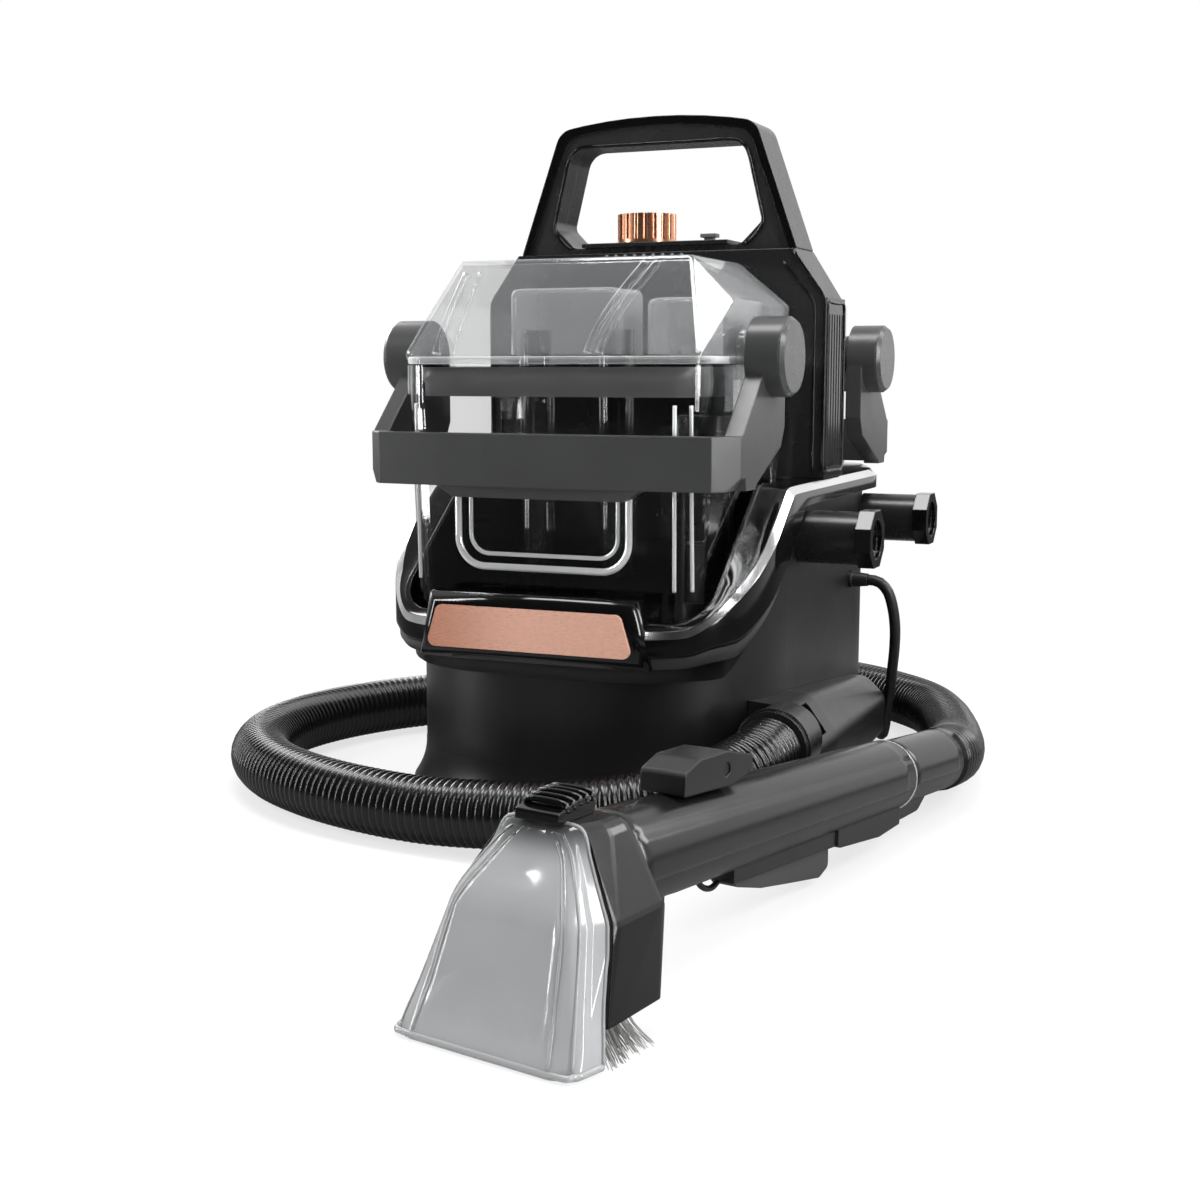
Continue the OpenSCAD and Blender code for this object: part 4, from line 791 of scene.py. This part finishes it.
# Painted shade: towards the top the colour goes to near black.
painted_shade_top = smoky.add("ShaderNodeMapRange", {"interpolation_type": "SMOOTHSTEP"},
                    {0: height, 1: 0.066, 2: 0.081, 3: 0.0, 4: 1.0})
smoke = smoky.tint(smoky.noise(30.0), (0.32, 0.325, 0.33, 1), (0.38, 0.385, 0.39, 1))
ripple = smoky.add("ShaderNodeBump", {}, {"Strength": 0.05, "Distance": 0.001,
                                          "Height": smoky.noise(30.0, 1.0)})
smoky.feed(smoky.surface, {
    "Base Color": smoky.tint(painted_shade_top, smoke, (0.035, 0.036, 0.037, 1)),
    "Roughness": 0.10 + 0.06 * smoky.noise(90.0),
    "Alpha": 0.955 + 0.045 * facing,
    "Normal": ripple})
WINDOW_ROWS, ROOF_ROWS, WINDOW_COLUMNS = 34, 12, 121
LEAN = 0.3198
WINDOW_BACK = -0.0545
lean = np.array((0, LEAN, 1.0)) / np.linalg.norm((LEAN, 1.0))
way_round = np.radians(np.linspace(180, 360, WINDOW_COLUMNS))
levels = np.concatenate([np.linspace(0.0008, 0.058, WINDOW_ROWS), np.full(ROOF_ROWS, 0.058)])
tilt = np.radians(np.concatenate([np.zeros(WINDOW_ROWS), np.linspace(7, 88, ROOF_ROWS)]))
target = np.stack([0 * levels, WINDOW_BACK + LEAN * (levels + 0.001) - 0.0006, levels], -1)
level_way = np.stack([np.cos(way_round), np.sin(way_round), 0 * way_round], -1)
heading = np.cos(tilt)[:, None, None] * level_way[None] + np.sin(tilt)[:, None, None] * lean
# Each ray comes from well outside the tool straight at the row's target.
far_off = 0.12
inwards = tool_root - on_tool(heading)
reach = distance_to("tool_window", on_tool(target)[:, None] - far_off * inwards, inwards)
reach = np.abs(far_off - reach) * np.linalg.norm(heading, axis=-1)
# The few rays of a row that miss take their reach from their neighbours.
for row in reach:
    known = ~np.isnan(row)
    row[~known] = np.interp(np.flatnonzero(~known), np.flatnonzero(known), row[known])
outside = target[:, None] + reach[..., None] * heading
steps_round = np.linalg.norm(np.diff(outside, axis=1), axis=-1)
along = np.concatenate([np.zeros((len(levels), 1)), np.cumsum(steps_round, axis=1)], 1)
share_round = along / along[:, -1:]
share_up = np.clip(outside[..., 2] / 0.080, 0, 1)


def eased(x, start, end):
    """0 before start, 1 after end, and a smooth step in between."""
    t = np.clip((x - start) / (end - start), 0, 1)
    return t * t * (3 - 2 * t)


side_share = np.minimum(share_round, 1 - share_round)
sunk = 0.0014 * (1 - eased(side_share, 0.075, 0.095)) + 0.0012 * np.exp(-((side_share - 0.215) / 0.012) ** 2)
left_edge = 0.36 - 0.10 * share_up
panel = eased(share_round, left_edge - 0.25, left_edge - 0.22 + 0.05 * share_up)
panel = panel * (1 - eased(share_round, 0.74, 0.765))
sunk = sunk + 0.0011 * panel * (1 - eased(share_up, 0.60, 0.68))
sunk = (sunk + 0.0004) * (1 - eased(share_up, 0.86, 0.97))
sunk = sunk * eased(share_up, 0.01, 0.30)
outward = np.cross(np.gradient(outside, axis=1), np.gradient(outside, axis=0))
outward /= np.linalg.norm(outward, axis=-1)[..., None] + 1e-12
outward *= np.sign((outward * heading).sum(-1))[..., None]
skin_grid = outside - sunk[..., None] * outward
window = grid_piece("tool_window_skin", on_tool(skin_grid), smoky, "tool")
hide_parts("tool_window")


def window_line(name, share, rows, radius, finish=smoky):
    """A thin round ridge along the skin, at one share of the way round from row to row."""
    line = np.array([[np.interp(share, share_round[r], skin_grid[r, :, k]) for k in range(3)] for r in rows])
    return grid_piece(name, tube_grid(on_tool(flowing(line, 0.002)), radius, 8, (0.3, -0.8, 0.2)), finish,
                      "tool", round_v=True, lids=True)


full_height = np.arange(2, WINDOW_ROWS + 8, 3)
to_roof = np.arange(1, WINDOW_ROWS + ROOF_ROWS, 3)
window_line("window_ridge_right", 0.785, full_height, 0.0008)
window_line("window_ridge_left", 0.215, full_height, 0.0007)
window_line("window_pillar_right", 0.865, full_height, 0.0007)
window_line("window_pillar_left", 0.135, full_height, 0.0006)
# Pale lines at the window's side joints: painted highlights on those edges.
window_line("window_joint_glint_right", 0.996, to_roof, 0.0008, painted_glint_grey)
window_line("window_joint_glint_left", 0.004, to_roof, 0.0008, painted_glint_grey)
lip_side = np.array([(0.0434, -0.0545), (0.0432, -0.0560), (0.0414, -0.0656), (0.0395, -0.0679),
                     (0.0331, -0.0708)])
lip_plan = np.vstack([lip_side * (-1, 1), lip_side[::-1]])
lip_line = flowing(ring_at(lip_plan, 0.0022), 0.002)
grid_piece("mouth_lip", tube_grid(on_tool(lip_line), 0.0013, 8), smoky, "tool", round_v=True,
           lids=True)

# Clip bars.
# Five low bars of gloss black plastic, moulded across the top of the tool's clip.
for k in range(5):
    y = -0.029 + 0.0042 * k
    bar = np.array([(-0.0095, y, 0.0835), (-0.008, y, 0.0868), (0.008, y, 0.0868), (0.0095, y, 0.0835)])
    bar[:, 2] += 0.0006 * min(k, 2)
    grid_piece(f"clip_bar_{k + 1}", tube_grid(on_tool(flowing(bar, 0.001)), 0.0013, 8), gloss_black,
               "tool", round_v=True, lids=True)

# Bristles.
# Six rows of pale nylon tufts, six bristles to a tuft, set in the brush block behind the mouth and splayed
# towards the floor.
TUFTS_ACROSS, TUFT_ROWS, PER_TUFT = 25, 6, 6
RINGS, SIDES = 5, 3
rng = np.random.default_rng(7)
tuft_x, tuft_y = np.meshgrid(np.linspace(-0.035, 0.035, TUFTS_ACROSS), np.linspace(-0.046, -0.028, TUFT_ROWS))
root = np.stack([tuft_x.ravel(), tuft_y.ravel()], -1).repeat(PER_TUFT, axis=0)
root = root + rng.uniform(-0.0009, 0.0009, root.shape)
tip = root + np.stack([0.28 * root[:, 0], 0.5 * (root[:, 1] + 0.034) + 0.0015], -1) \
    + rng.uniform(-0.0012, 0.0012, root.shape)
t = np.linspace(0, 1, RINGS)[None, :, None]
spine = np.concatenate([root[:, None] + (tip - root)[:, None] * t ** 1.6,
                        np.broadcast_to(0.0150 - 0.0145 * t, (len(root), RINGS, 1))], axis=-1)
turn = np.linspace(0, 2 * np.pi, SIDES, endpoint=False)
ring = 0.00022 * np.stack([np.cos(turn), np.sin(turn), 0 * turn], -1)
fibres = on_tool(spine[:, :, None] + ring)
index = np.arange(len(root) * RINGS * SIDES).reshape(-1, RINGS, SIDES)
a, b = index[:, :-1], index[:, 1:]
quads = np.stack([a, np.roll(a, -1, 2), np.roll(b, -1, 2), b], -1).reshape(-1, 4)[:, ::-1]
bristle_mesh = bpy.data.meshes.new("bristle_tufts")
bristle_mesh.from_pydata(fibres.reshape(-1, 3).tolist(), [], quads.tolist())
bristle_nylon = moulded("bristle_nylon", (0.62, 0.62, 0.60), 0.5, 0.02)
bristle_mesh.materials.append(bristle_nylon.material)
tufts = bpy.data.objects.new("bristle_tufts", bristle_mesh)
bpy.context.scene.collection.objects.link(tufts)
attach(tufts, "tool")
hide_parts("bristles")
